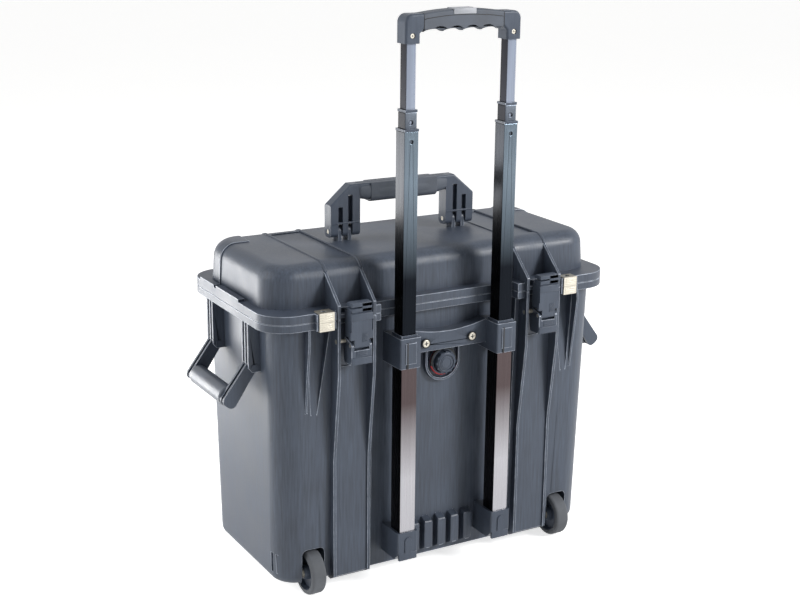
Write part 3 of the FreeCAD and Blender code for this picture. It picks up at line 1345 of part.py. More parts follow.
def latches():
    """A lever turns on the fins' pin, and a hook turns on the lever's link pin."""
    cheek_inner = S.latch_width / 2 - S.latch_cheek
    pivot = (-S.latch_pivot_front, latch_pivot_height)
    link = (-S.link_front, link_height)
    eye = S.latch_eye / 2
    link_eye = S.link_eye / 2
    front = -S.latch_front
    back = S.latch_plate - S.latch_front
    lever_top = link_height - link_eye - S.link_gap
    knee = latch_foot + S.latch_plate
    for name, side in SIDES:
        place_x = side * S.latch_place
        lever = new_body(f"latch_lever_{name}")
        plate = polygon((front, knee), (back - S.latch_bevel, latch_foot), (back + S.latch_plate, latch_foot),
                        (back, knee), (back, lever_top), (front, lever_top))
        half = S.latch_width / 2
        pad(lever, "x", plate, place_x - half, place_x + half)
        rear = -S.lever_cheek_front
        cheek = polygon((back, latch_foot), (rear - S.latch_bevel, latch_foot), (rear, knee),
                        (rear, pivot[1] - eye), (pivot[0] + eye, pivot[1]),
                        (pivot[0], pivot[1] + eye), (link[0], link[1] + link_eye), (front, link[1]),
                        (front, lever_top), (back, lever_top))
        for end in (-1, 1):
            low, high = spread(end, cheek_inner, half)
            pad(lever, "x", cheek, place_x + low, place_x + high)
        cut(lever, "x", circle(pivot, S.latch_pin + S.latch_fit), place_x - half, place_x + half)
        cut(lever, "x", circle(link, S.link_pin), place_x - half, place_x + half)
        pin = new_body(f"latch_link_pin_{name}")
        pad(pin, "x", circle(link, S.link_pin), place_x - half, place_x + half)
        latch_hook(name, place_x, cheek_inner, link)


def latch_hook(name, place_x, cheek_inner, link):
    hook = new_body(f"latch_hook_{name}")
    half = cheek_inner - S.hook_gap
    front = -S.latch_front
    back = S.latch_plate - S.latch_front
    claw_end = -S.bay_front - S.hook_clearance
    shaft = polygon((front, link[1]), (link[0] + S.link_eye / 2, link[1]), (back, link[1] + S.link_eye),
                    (back, claw_low), (claw_end, claw_low), (claw_end, hook_top),
                    (front + S.latch_bevel, hook_top), (front, hook_top - S.latch_bevel))
    pad(hook, "x", shaft, place_x - half, place_x + half)
    pad(hook, "x", circle(link, S.link_eye), place_x - half, place_x + half)
    wide = S.latch_width / 2 + S.hook_ear
    ear_low = link[1] + S.hook_ear_rise
    ear = rectangle((front, ear_low), (back, ear_low + S.hook_ear_height))
    pad(hook, "x", ear, place_x - wide, place_x + wide)
    rear = -S.hook_cheek_front
    cheek = polygon((front, link[1] + S.hook_cheek_rise), (rear, link[1] + S.hook_cheek_rise),
                    (rear, hook_top), (front + S.latch_bevel, hook_top), (front, hook_top - S.latch_bevel))
    for end in (-1, 1):
        low, high = spread(end, half, S.latch_width / 2)
        pad(hook, "x", cheek, place_x + low, place_x + high)
    cut(hook, "x", circle(link, S.link_pin + S.latch_fit), place_x - half, place_x + half)


# Wheels

def wheels():
    inner = S.wheel_radius - S.tyre_depth
    bore = S.axle_diameter / 2 + S.axle_fit / 2
    half_tyre = S.tyre_width / 2
    bevel = S.tyre_bevel
    for name, side in SIDES:
        tyre = new_body(f"wheel_tyre_{name}")
        revolve(tyre, polygon((-half_tyre, inner), (half_tyre, inner), (half_tyre, S.wheel_radius - bevel),
                              (half_tyre - bevel, S.wheel_radius), (bevel - half_tyre, S.wheel_radius),
                              (-half_tyre, S.wheel_radius - bevel)))
        hub = new_body(f"wheel_hub_{name}")
        half = S.hub_width / 2
        seat = bore + S.bush_wall
        web = S.hub_web / 2
        boss = seat + S.bush_wall
        foot = boss + S.bush_wall
        rim = inner - S.bush_wall
        revolve(hub, polygon((-half, seat), (half, seat), (half, boss), (web, foot), (web, rim), (half_tyre, inner),
                             (-half_tyre, inner), (-web, rim), (-web, foot), (-half, boss)))
        bush = new_body(f"wheel_bush_{name}")
        reach = S.bush_length / 2
        revolve(bush, rectangle((-reach, bore), (reach, seat)))
        for body in (tyre, hub, bush):
            place(body, x=side * S.wheel_place, y=-S.wheel_front, z=S.wheel_radius)


def build():
    base_shell()
    hinge_pins()
    latch_pins()
    padlock_plates("base_padlock_plates", base_rim_low, S.parting_height)
    side_handle_pins()
    valve()
    wheel_axles()
    rear_feet()
    trolley()
    lid_shell()
    lid_gasket()
    padlock_plates("lid_padlock_plates", lid_rim_top, lid_low)
    top_handle_pins()
    top_handle()
    side_handles()
    latches()
    wheels()
    doc.recompute()


def check():
    for item in doc.Objects:
        if "Invalid" in item.State or "Error" in item.State:
            raise RuntimeError(f"{item.Label} failed: {item.State}")
    for name, item in NODES.items():
        shape = item.Shape
        if shape.isNull() or not shape.isValid() or not shape.Solids:
            raise RuntimeError(f"{name} has no valid solid")


def export():
    os.makedirs("parts", exist_ok=True)
    for name, item in NODES.items():
        item.Shape.exportStep(os.path.join("parts", f"{name}.step"))
        volume = item.Shape.Volume / 1000
        print(f"{name}: {len(item.Shape.Solids)} solids, {volume:.2f} cm3")


build()
check()
export()
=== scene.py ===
import json
import math

import bmesh
import bpy
from bpy.props import FloatProperty, FloatVectorProperty, IntProperty, PointerProperty
from mathutils import Matrix, Vector

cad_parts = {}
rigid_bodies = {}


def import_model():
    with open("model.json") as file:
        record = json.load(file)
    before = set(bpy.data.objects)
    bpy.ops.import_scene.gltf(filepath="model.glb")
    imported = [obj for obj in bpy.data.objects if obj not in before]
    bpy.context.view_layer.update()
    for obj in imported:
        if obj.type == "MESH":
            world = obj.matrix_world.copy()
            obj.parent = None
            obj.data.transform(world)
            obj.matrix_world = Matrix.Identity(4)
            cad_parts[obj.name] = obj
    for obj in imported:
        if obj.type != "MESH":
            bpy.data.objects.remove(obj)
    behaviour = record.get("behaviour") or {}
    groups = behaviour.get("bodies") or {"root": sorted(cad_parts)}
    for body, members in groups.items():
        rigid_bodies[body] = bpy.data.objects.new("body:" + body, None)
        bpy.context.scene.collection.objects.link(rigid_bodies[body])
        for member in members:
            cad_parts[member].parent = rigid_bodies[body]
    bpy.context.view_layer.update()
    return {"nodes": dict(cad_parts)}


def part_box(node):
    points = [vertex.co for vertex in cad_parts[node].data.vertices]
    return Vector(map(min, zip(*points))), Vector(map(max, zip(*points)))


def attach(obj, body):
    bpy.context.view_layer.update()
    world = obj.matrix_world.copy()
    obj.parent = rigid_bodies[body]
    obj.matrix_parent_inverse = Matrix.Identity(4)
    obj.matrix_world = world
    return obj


bl_info = {
    "name": "Rolling hard case",
    "version": (1, 0, 0),
    "blender": (4, 5, 0),
    "location": "3D View > Sidebar > Case",
    "description": "Dresses the packed rolling hard case with its finishes, fine detail and studio",
    "category": "Object",
}

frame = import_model()
NODES = frame["nodes"]
MM = 0.001
SIDES = (("left", -1), ("right", 1))
WHITE = (1, 1, 1, 1)
# How far a piece of detail reaches into the surface that it sits on
SUNK = 1 * MM
# Planes, in millimetres from the middle, along which the solids of each shell touch
SHELL_SEAMS = {
    "base_shell": {"X": (99.7, 103.7, 208.5), "Y": (44.9, 87.3), "Z": (22.3, 354.2)},
    "lid_shell": {"X": (99.7, 200.5), "Y": (75.4,), "Z": (415.4, 427.75)},
}
# How near to such a plane a face counts as on it, and how squarely it has to face along the axis
SEAM_REACH = 0.02 * MM
SEAM_FACING = 0.999
# Points of the loose CAD triangles closer than this are one
WELD_REACH = 0.01 * MM
# Edges that stand out by more than the first get a round, and edges sharper than the second stay sharp
ROUND_ANGLE = math.radians(38)
SHARP_ANGLE = math.radians(32)
# Indices of refraction
PLASTIC_IOR = 1.49
RUBBER_IOR = 1.52


def mm(*sizes):
    """Sizes in millimetres as metres."""
    return [size * MM for size in sizes]


def linear(code):
    """An sRGB hex colour as linear RGBA."""
    values = []
    for place in (1, 3, 5):
        part = int(code[place:place + 2], 16) / 255
        values.append(part / 12.92 if part <= 0.04045 else ((part + 0.055) / 1.055) ** 2.4)
    return (*values, 1.0)


def colour_prop(name, code, words):
    return FloatVectorProperty(name=name, description=words, subtype="COLOR", size=4, min=0, max=1,
                               default=linear(code))


def length_prop(name, millimetres, words):
    return FloatProperty(name=name, description=words, subtype="DISTANCE", unit="LENGTH",
                         default=millimetres * MM)


def angle_prop(name, degrees, words):
    return FloatProperty(name=name, description=words, subtype="ANGLE", default=math.radians(degrees))


def count_prop(name, count, words, least=1):
    return IntProperty(name=name, description=words, default=count, min=least)


class CaseFinish(bpy.types.PropertyGroup):
    """Colours and edge sizes of the finishes."""

    shell: colour_prop("Shell", "#434b58", "Moulded shell of the base and lid")
    fittings: colour_prop("Fittings", "#48505d", "Latches, handles and brackets")
    # Paler colour on the rounded edges: partly rubbed wear, partly a painted highlight
    rubbed_and_highlit: colour_prop("Rubbed edges", "#98a0ae", "Edges of the mouldings, where they are rubbed")
    grip: colour_prop("Grips", "#454b55", "Rubber of the grips")
    tyre: colour_prop("Tyres", "#54575c", "Rubber of the wheels")
    steel: colour_prop("Steel", "#c4bfb3", "Pins, plates and screws")
    seal: colour_prop("Seal", "#b01f28", "Ring round the pressure valve")
    button: colour_prop("Button", "#b3b6bb", "Release button in the trolley grip")
    edge: length_prop("Edge round", 0.7, "Round on the moulded pieces' edges")


class CaseDetail(bpy.types.PropertyGroup):
    """Sizes and counts of the fine detail."""

    lever_ribs: count_prop("Lever ribs", 4, "Thumb ribs on a latch lever")
    hook_ribs: count_prop("Hook ribs", 7, "Fine ribs on a latch hook")
    plate_ribs: count_prop("Plate ribs", 3, "Rolled ribs on a padlock plate's lip")
    leg_width: length_prop("Leg width", 42, "Width of a top handle leg")
    sleeve_overlap: length_prop("Sleeve overlap", 16,
                                "How far the top grip's sleeve runs over the frame's bar")
    ridge_width: length_prop("Ridge width", 4, "Width of the ridges that carry the guard fins over the lid")
    ridge_height: length_prop("Ridge height", 1.2, "How far those ridges stand out of the lid")
    fin_pitch: length_prop("Fin pitch", 48, "Spacing of the two guard fins beside a latch")
    head_height: length_prop("Head height", 11.4, "Height of a latch hook's head above its claw")
    rib_height: length_prop("Rib height", 0.6, "How far the fine ribs stand out")
    knob_lugs: count_prop("Knob lugs", 12, "Finger lugs round the valve knob", least=3)
    scallops: count_prop("Scallops", 4, "Finger scallops under the trolley grip")
    scallop_depth: length_prop("Scallop depth", 3.2, "Depth of a finger scallop")
    skid_ribs: count_prop("Skid ribs", 5, "Broad ribs under the trolley channel")
    skid_width: length_prop("Skid rib width", 12, "Width of a broad rib under the trolley channel")
    skid_pitch: length_prop("Skid rib pitch", 20, "Spacing of the broad ribs under the trolley channel")
    # A dark strip of this width paints the shadow of a groove down each collar's front
    groove_shadow_width: length_prop("Groove width", 1.9, "Width of the groove down a collar's front")
    parting_drop: length_prop("Parting drop", 6.5, "Height of the grip's crown above its parting line")
    # The dark hood paints the shadow over the valve seal's upper part
    shadow_hood_reach: angle_prop("Hood reach", 205, "How far round the valve its hood runs")


class CaseStage(bpy.types.PropertyGroup):
    """Camera and floor of the studio."""

    azimuth: angle_prop("Azimuth", -29.83, "Camera's turn round the case")
    elevation: angle_prop("Elevation", 15.97, "Camera's height above the horizon")
    roll: angle_prop("Roll", 0.61, "Camera's tilt")
    distance: length_prop("Distance", 1902.15, "Camera to the point it looks at")
    target: FloatVectorProperty(name="Target", description="Point that the camera looks at", subtype="XYZ",
                                default=(-0.00228, 0.0, 0.33542))
    lens: FloatProperty(name="Lens", description="Focal length in millimetres", default=64.67)
    floor: colour_prop("Floor", "#fafaf8", "Floor and backdrop")
    lift: FloatProperty(name="Floor lift", description="How much the floor is lifted towards white",
                        default=0.7)


def add(tree, kind, links=None, **settings):
    """Adds a node with its settings, and sets or links its inputs."""
    made = tree.nodes.new(kind)
    for name, value in settings.items():
        setattr(made, name, value)
    for socket, value in (links or {}).items():
        if isinstance(value, bpy.types.NodeSocket):
            tree.links.new(value, made.inputs[socket])
        else:
            made.inputs[socket].default_value = value
    return made


def new_material(name, constants):
    """A material with its principled shader, what is the same all over it, and Object coordinates."""
    material = bpy.data.materials.new(name)
    material.use_nodes = True
    tree = material.node_tree
    tree.nodes.clear()
    shader = add(tree, "ShaderNodeBsdfPrincipled", constants)
    add(tree, "ShaderNodeOutputMaterial", {"Surface": shader.outputs["BSDF"]})
    place = add(tree, "ShaderNodeTexCoord").outputs["Object"]
    return material, tree, shader, place


def link_finish(tree, shader, colour, gloss, relief=None):
    """Links a finish's colour, roughness and relief to its shader."""
    tree.links.new(colour, shader.inputs["Base Color"])
    tree.links.new(gloss.outputs["Result"], shader.inputs["Roughness"])
    if relief:
        tree.links.new(relief.outputs["Normal"], shader.inputs["Normal"])


def per_mm(size):
    """Noise scale whose features are about this many millimetres wide."""
    return 1 / (size * MM)


def between(tree, factor, low, high, stops=(0.3, 0.7)):
    """Two tones mixed by a factor: the low one up to the first stop, the high one from the second."""
    share = add(tree, "ShaderNodeMapRange", {"Value": factor, "From Min": stops[0], "From Max": stops[1]})
    tone = add(tree, "ShaderNodeMix", {"Factor": share.outputs["Result"], "A": low, "B": high},
               data_type="RGBA")
    return tone.outputs["Result"]


def shade(colour, factor):
    return (*[min(1.0, part * factor) for part in colour[:3]], 1.0)


def moulded_plastic(name, colour, rough=0.42, streak=0.16, specular=0.28):
    """Injection-moulded plastic: fine lines drawn down the walls, dull sheen and faint cloudy flow marks."""
    material, tree, shader, place = new_material(name, {"IOR": PLASTIC_IOR, "Specular IOR Level": specular})
    spread = 0.1
    drawn = add(tree, "ShaderNodeMapping", {"Vector": place, "Scale": (1, 1, 0.06)}).outputs["Vector"]
    # Mould texture is under 1 mm, drawn at 2.4 mm so that it shows
    lines = add(tree, "ShaderNodeTexNoise", {"Vector": drawn, "Scale": per_mm(2.4), "Detail": 3.0})
    cloud = add(tree, "ShaderNodeTexNoise", {"Vector": place, "Scale": per_mm(55), "Detail": 4.0})
    grit = add(tree, "ShaderNodeTexNoise", {"Vector": place, "Scale": per_mm(1.6), "Detail": 2.0})
    streaked = between(tree, lines.outputs["Fac"], shade(colour, 1 - streak), shade(colour, 1 + streak))
    clouded = between(tree, cloud.outputs["Fac"], (0.8, 0.8, 0.82, 1), WHITE)
    body = add(tree, "ShaderNodeMix", {"Factor": 1.0, "A": streaked, "B": clouded}, data_type="RGBA",
               blend_type="MULTIPLY")
    uneven = add(tree, "ShaderNodeMix", {
        "Factor": 0.5, "A": cloud.outputs["Fac"], "B": lines.outputs["Fac"]})
    gloss = add(tree, "ShaderNodeMapRange", {
        "Value": uneven.outputs["Result"], "From Min": 0.3, "From Max": 0.7, "To Min": rough - spread,
        "To Max": rough + spread})
    height = add(tree, "ShaderNodeMath", {0: lines.outputs["Fac"], 1: grit.outputs["Fac"]})
    relief = add(tree, "ShaderNodeBump", {
        "Height": height.outputs["Value"], "Strength": 0.22, "Distance": 0.25 * MM})
    link_finish(tree, shader, body.outputs["Result"], gloss, relief)
    return material


def rubbed_and_highlit_plastic(name, colour):
    """The same plastic on the moulded edges: paler, smoother and a little uneven, partly rubbed wear and
    partly a painted highlight along the edges.
    """
    material, tree, shader, place = new_material(name, {"IOR": PLASTIC_IOR})
    scuff = add(tree, "ShaderNodeTexNoise", {"Vector": place, "Scale": per_mm(9), "Detail": 5.0})
    tone = between(tree, scuff.outputs["Fac"], shade(colour, 0.45), shade(colour, 1.15))
    gloss = add(tree, "ShaderNodeMapRange", {"Value": scuff.outputs["Fac"], "To Min": 0.28, "To Max": 0.42})
    link_finish(tree, shader, tone, gloss)
    return material


def moulded_rubber(name, colour, grain=1.8, rough=0.62):
    """Over-moulded rubber: matte with a stippled surface and a dusty bloom."""
    material, tree, shader, place = new_material(name, {"IOR": RUBBER_IOR})
    stipple = add(tree, "ShaderNodeTexVoronoi", {"Vector": place, "Scale": per_mm(grain)})
    bloom = add(tree, "ShaderNodeTexNoise", {"Vector": place, "Scale": per_mm(22), "Detail": 5.0})
    dusty = between(tree, bloom.outputs["Fac"], shade(colour, 0.85), shade(colour, 1.25))
    gloss = add(tree, "ShaderNodeMapRange", {
        "Value": bloom.outputs["Fac"], "To Min": rough - 0.08, "To Max": rough + 0.12})
    relief = add(tree, "ShaderNodeBump", {
        "Height": stipple.outputs["Distance"], "Strength": 0.25, "Distance": 0.2 * MM})
    link_finish(tree, shader, dusty, gloss, relief)
    return material


def drawn_metal(name, low, high, span, rough=0.3, stops=(0.0, 1.0), painted_shade_sides=False):
    """Drawn tube or rolled sheet: long fine lines, a tone that changes with height, which on the tubes is
    painted reflection and shade, and, where asked, painted shade that darkens the sides facing along X.
    """
    material, tree, shader, place = new_material(name, {"Metallic": 1.0})
    drawn = add(tree, "ShaderNodeMapping", {"Vector": place, "Scale": (1, 1, 0.01)}).outputs["Vector"]
    lines = add(tree, "ShaderNodeTexNoise", {
        "Vector": drawn, "Scale": per_mm(1.2), "Detail": 2.0}).outputs["Fac"]
    height = add(tree, "ShaderNodeSeparateXYZ", {"Vector": place}).outputs["Z"]
    rise = add(tree, "ShaderNodeMapRange", {
        "Value": height, "From Min": span[0] * MM, "From Max": span[1] * MM})
    # Tone by height: on the tubes a painted reflection and shade, on the steel only darker towards the
    # bottom
    tone = between(tree, rise.outputs["Result"], low, high, stops)
    layers = [between(tree, lines, (0.88, 0.88, 0.88, 1), WHITE)]
    # Painted shade: faces turned along X, the tubes' narrow sides, are darkened
    if painted_shade_sides:
        facing = add(tree, "ShaderNodeTexCoord").outputs["Normal"]
        across = add(tree, "ShaderNodeSeparateXYZ", {"Vector": facing}).outputs["X"]
        sideways = add(tree, "ShaderNodeMath", {0: across}, operation="ABSOLUTE").outputs["Value"]
        layers.append(between(tree, sideways, WHITE, (0.07, 0.065, 0.07, 1), (0.5, 0.8)))
    for layer in layers:
        tone = add(tree, "ShaderNodeMix", {"Factor": 1.0, "A": tone, "B": layer}, data_type="RGBA",
                   blend_type="MULTIPLY").outputs["Result"]
    gloss = add(tree, "ShaderNodeMapRange", {"Value": lines, "To Min": rough - 0.06, "To Max": rough + 0.08})
    relief = add(tree, "ShaderNodeBump", {"Height": lines, "Strength": 0.06, "Distance": 0.1 * MM})
    link_finish(tree, shader, tone, gloss, relief)
    return material


def dress(names, material, edge=None, rubbed_and_highlit=None):
    """Gives CAD nodes a finish and, where an edge is given, a small round on their outer edges."""
    for name in names:
        item = NODES[name]
        item.data.materials.clear()
        item.data.materials.append(material)
        if name in SHELL_SEAMS:
            item.modifiers.new("Seams", "NODES").node_group = seam_tree(name)
        if edge:
            item.modifiers.new("Weld", "WELD").merge_threshold = WELD_REACH
            item.modifiers.new("Outer edges", "NODES").node_group = outer_edge_tree()
            bevel = item.modifiers.new("Edge", "BEVEL")
            bevel.width = edge
            bevel.segments = 2
            bevel.limit_method = "WEIGHT"
            bevel.use_clamp_overlap = name not in SHELL_SEAMS
            # The round's faces take the paler edge finish: partly rubbed wear, partly a painted highlight
            if rubbed_and_highlit:
                item.data.materials.append(rubbed_and_highlit)
                bevel.material = 1
            item.modifiers.new("Smooth", "NODES").node_group = smooth_tree()
            item.modifiers.new("Flat faces", "WEIGHTED_NORMAL").keep_sharp = True


def new_tree(name, inputs=(("Geometry", "NodeSocketGeometry"),)):
    """A geometry-node tree with its named inputs, and the node that gives them."""
    tree = bpy.data.node_groups.new(name, "GeometryNodeTree")
    for label, kind in inputs:
        tree.interface.new_socket(label, in_out="INPUT", socket_type=kind)
    tree.interface.new_socket("Geometry", in_out="OUTPUT", socket_type="NodeSocketGeometry")
    return tree, add(tree, "NodeGroupInput").outputs


def seam_tree(name):
    """Geometry nodes that leave out the faces inside a shell, where its solids touch."""
    tree, given = new_tree(f"close_seams_{name}")
    sides = {}
    for label, kind, output in (("place", "GeometryNodeInputPosition", "Position"),
                                ("normal", "GeometryNodeInputNormal", "Normal")):
        vector = add(tree, kind).outputs[output]
        size = add(tree, "ShaderNodeVectorMath", {0: vector}, operation="ABSOLUTE").outputs["Vector"]
        sides[label] = add(tree, "ShaderNodeSeparateXYZ", {"Vector": size}).outputs
    inside = False
    for axis, planes in SHELL_SEAMS[name].items():
        facing = add(tree, "FunctionNodeCompare", {0: sides["normal"][axis], 1: SEAM_FACING},
                     operation="GREATER_THAN").outputs["Result"]
        for plane in planes:
            near = add(tree, "FunctionNodeCompare", {
                0: sides["place"][axis], 1: plane * MM, "Epsilon": SEAM_REACH}, operation="EQUAL")
            both = add(tree, "FunctionNodeBooleanMath", {0: facing, 1: near.outputs["Result"]},
                       operation="AND")
            inside = add(tree, "FunctionNodeBooleanMath", {0: inside, 1: both.outputs["Boolean"]},
                         operation="OR").outputs["Boolean"]
    open_skin = add(tree, "GeometryNodeDeleteGeometry", {"Geometry": given["Geometry"], "Selection": inside},
                    domain="FACE")
    add(tree, "NodeGroupOutput", {"Geometry": open_skin.outputs["Geometry"]})
    return tree


def outer_edge_tree():
    """Geometry nodes that mark the edges that stand out, for the bevel."""
    tree = bpy.data.node_groups.get("mark_outer_edges")
    if tree:
        return tree
    tree, given = new_tree("mark_outer_edges")
    angle = add(tree, "GeometryNodeInputMeshEdgeAngle").outputs["Signed Angle"]
    outer = add(tree, "FunctionNodeCompare", {0: angle, 1: ROUND_ANGLE}, operation="GREATER_THAN")
    marked = add(tree, "GeometryNodeStoreNamedAttribute", {
        "Geometry": given["Geometry"], "Name": "bevel_weight_edge", "Value": outer.outputs["Result"]},
        data_type="FLOAT", domain="EDGE")
    add(tree, "NodeGroupOutput", {"Geometry": marked.outputs["Geometry"]})
    return tree


def smooth_tree():
    """Geometry nodes that shade smooth below an angle."""
    tree = bpy.data.node_groups.get("smooth_below_angle")
    if tree:
        return tree
    tree, given = new_tree("smooth_below_angle")
    angle = add(tree, "GeometryNodeInputMeshEdgeAngle").outputs["Unsigned Angle"]
    sharp = add(tree, "FunctionNodeCompare", {0: angle, 1: SHARP_ANGLE}, operation="GREATER_THAN")
    faces = add(tree, "GeometryNodeSetShadeSmooth", {"Geometry": given["Geometry"], "Shade Smooth": True},
                domain="FACE")
    soft = add(tree, "FunctionNodeBooleanMath", {0: sharp.outputs["Result"]}, operation="NOT")
    edges = add(tree, "GeometryNodeSetShadeSmooth", {
        "Geometry": faces.outputs["Geometry"], "Shade Smooth": soft.outputs["Boolean"]}, domain="EDGE")
    add(tree, "NodeGroupOutput", {"Geometry": edges.outputs["Geometry"]})
    return tree


def rounded_block(size, edge, place=(0, 0, 0), segments=2):
    """A block with rounded edges about a place."""
    mesh = bpy.data.meshes.new("block")
    work = bmesh.new()
    bmesh.ops.create_cube(work, size=1)
    bmesh.ops.scale(work, vec=size, verts=work.verts)
    bmesh.ops.bevel(work, geom=list(work.edges), offset=edge, segments=segments, profile=0.5,
                    affect="EDGES")
    for face in work.faces:
        face.smooth = True
    work.to_mesh(mesh)
    work.free()
    mesh.transform(Matrix.Translation(place))
    return mesh


def skin(rows, ring=False):
    """A closed mesh whose sections, all with as many points, follow one another, with ends or in a ring."""
    work = bmesh.new()
    rings = [[work.verts.new(point) for point in row] for row in rows]
    following = rings[1:] + rings[:1] if ring else rings[1:]
    for first, second in zip(rings, following):
        for place in range(len(first)):
            after = (place + 1) % len(first)
            work.faces.new((first[place], first[after], second[after], second[place]))
    if not ring:
        work.faces.new(rings[0])
        work.faces.new(rings[-1])
    bmesh.ops.recalc_face_normals(work, faces=work.faces)
    for face in work.faces:
        face.smooth = True
    mesh = bpy.data.meshes.new("skin")
    work.to_mesh(mesh)
    work.free()
    return mesh


def washer(centre, outer, inner, proud, start=0.0, reach=2 * math.pi):
    """A flat ring, or part of one, about an axis along Y, that stands out with a rounded front."""
    steps = 36
    edge = 0.25 * (outer - inner)
    shoulder = 0.7 * proud
    section = ((inner, -SUNK), (inner, shoulder), (inner + edge, proud), (outer - edge, proud),
               (outer, shoulder), (outer, -SUNK))
    whole = reach == 2 * math.pi
    rows = []
    for step in range(steps if whole else steps + 1):
        turn = start + reach * step / steps
        rows.append([(centre[0] + radius * math.cos(turn), centre[1] - out,
                      centre[2] + radius * math.sin(turn)) for radius, out in section])
    return skin(rows, ring=whole)


def join(meshes):
    """One mesh of several."""
    work = bmesh.new()
    for mesh in meshes:
        work.from_mesh(mesh)
        bpy.data.meshes.remove(mesh)
    joined = bpy.data.meshes.new("joined")
    work.to_mesh(joined)
    work.free()
    return joined


def keep(name, mesh, body, material=None):
    """Links a finished piece at the origin and lets it ride on its body."""
    if material:
        mesh.materials.clear()
        mesh.materials.append(material)
    item = bpy.data.objects.new(name, mesh)
    bpy.context.scene.collection.objects.link(item)
    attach(item, body)
    return item


def close_tree(tree, instances, material):
    """Realizes the instances, gives them their material and ends the tree."""
    real = add(tree, "GeometryNodeRealizeInstances", {"Geometry": instances}).outputs["Geometry"]
    done = add(tree, "GeometryNodeSetMaterial", {"Geometry": real, "Material": material})
    add(tree, "NodeGroupOutput", {"Geometry": done.outputs["Geometry"]})
    return tree


def row_tree():
    """Copies of one piece along a straight row."""
    tree = bpy.data.node_groups.get("pieces_in_a_row")
    if tree:
        return tree
    tree, given = new_tree("pieces_in_a_row", (
        ("Piece", "NodeSocketObject"), ("Start", "NodeSocketVector"), ("Step", "NodeSocketVector"),
        ("Count", "NodeSocketInt"), ("Material", "NodeSocketMaterial")))
    line = add(tree, "GeometryNodeMeshLine", {
        "Count": given["Count"], "Start Location": given["Start"], "Offset": given["Step"]}, mode="OFFSET")
    piece = add(tree, "GeometryNodeObjectInfo", {"Object": given["Piece"]}).outputs["Geometry"]
    copies = add(tree, "GeometryNodeInstanceOnPoints", {"Points": line.outputs["Mesh"], "Instance": piece})
    return close_tree(tree, copies.outputs["Instances"], given["Material"])


def ring_tree():
    """Copies of one piece round a circle about the Y axis, each turned to face outwards."""
    tree = bpy.data.node_groups.get("pieces_in_a_ring")
    if tree:
        return tree
    tree, given = new_tree("pieces_in_a_ring", (
        ("Piece", "NodeSocketObject"), ("Centre", "NodeSocketVector"), ("Radius", "NodeSocketFloat"),
        ("Count", "NodeSocketInt"), ("Material", "NodeSocketMaterial")))
    circle = add(tree, "GeometryNodeMeshCircle", {"Vertices": given["Count"], "Radius": given["Radius"]})
    upright = add(tree, "GeometryNodeTransform", {
        "Geometry": circle.outputs["Mesh"], "Rotation": (math.radians(90), 0, 0)})
    outward = add(tree, "GeometryNodeInputPosition").outputs["Position"]
    turn = add(tree, "FunctionNodeAlignEulerToVector", {"Vector": outward}, axis="Z", pivot_axis="Y")
    piece = add(tree, "GeometryNodeObjectInfo", {"Object": given["Piece"]}).outputs["Geometry"]
    copies = add(tree, "GeometryNodeInstanceOnPoints", {
        "Points": upright.outputs["Geometry"], "Instance": piece, "Rotation": turn.outputs["Rotation"]})
    moved = add(tree, "GeometryNodeTransform", {
        "Geometry": copies.outputs["Instances"], "Translation": given["Centre"]})
    return close_tree(tree, moved.outputs["Geometry"], given["Material"])


def grow(name, tree, piece, body, **values):
    """Runs a geometry-node tree on one piece and keeps its result as a plain mesh."""
    scene = bpy.context.scene.collection.objects
    pattern = bpy.data.objects.new(f"{name}_pattern", piece)
    seed = bpy.data.objects.new(f"{name}_seed", bpy.data.meshes.new(f"{name}_seed"))
    scene.link(pattern)
    scene.link(seed)
    modifier = seed.modifiers.new("Grow", "NODES")
    modifier.node_group = tree
    values["Piece"] = pattern
    for item in tree.interface.items_tree:
        if item.in_out == "INPUT":
            modifier[item.identifier] = values[item.name]
    graph = bpy.context.evaluated_depsgraph_get()
    mesh = bpy.data.meshes.new_from_object(seed.evaluated_get(graph), depsgraph=graph)
    bpy.data.objects.remove(seed)
    bpy.data.objects.remove(pattern)
    return keep(name, mesh, body)


class CaseOperator:
    """What the case's operators share."""

    bl_options = {"REGISTER", "UNDO"}

    def execute(self, context):
        scene = context.scene
        self.make(scene.case_finish, scene.case_detail, scene.case_stage)
        return {"FINISHED"}


class CASE_OT_shells(CaseOperator, bpy.types.Operator):
    """Finish of the base, the lid and their rubber pieces"""

    bl_idname = "case.shells"
    bl_label = "Shells"

    def make(self, finish, detail, stage):
        shell = moulded_plastic("moulded_polypropylene_shell", finish.shell, rough=0.44, streak=0.2,
                                specular=0.4)
        # Paler finish for the rounded edges: rubbed wear and a painted highlight
        rubbed_and_highlit = rubbed_and_highlit_plastic("rubbed_and_highlit_polypropylene", finish.rubbed_and_highlit)
        dress(("base_shell", "lid_shell"), shell, finish.edge, rubbed_and_highlit)
        rubber = moulded_rubber("gasket_rubber", finish.grip)
        dress(("lid_gasket", "rear_feet"), rubber)


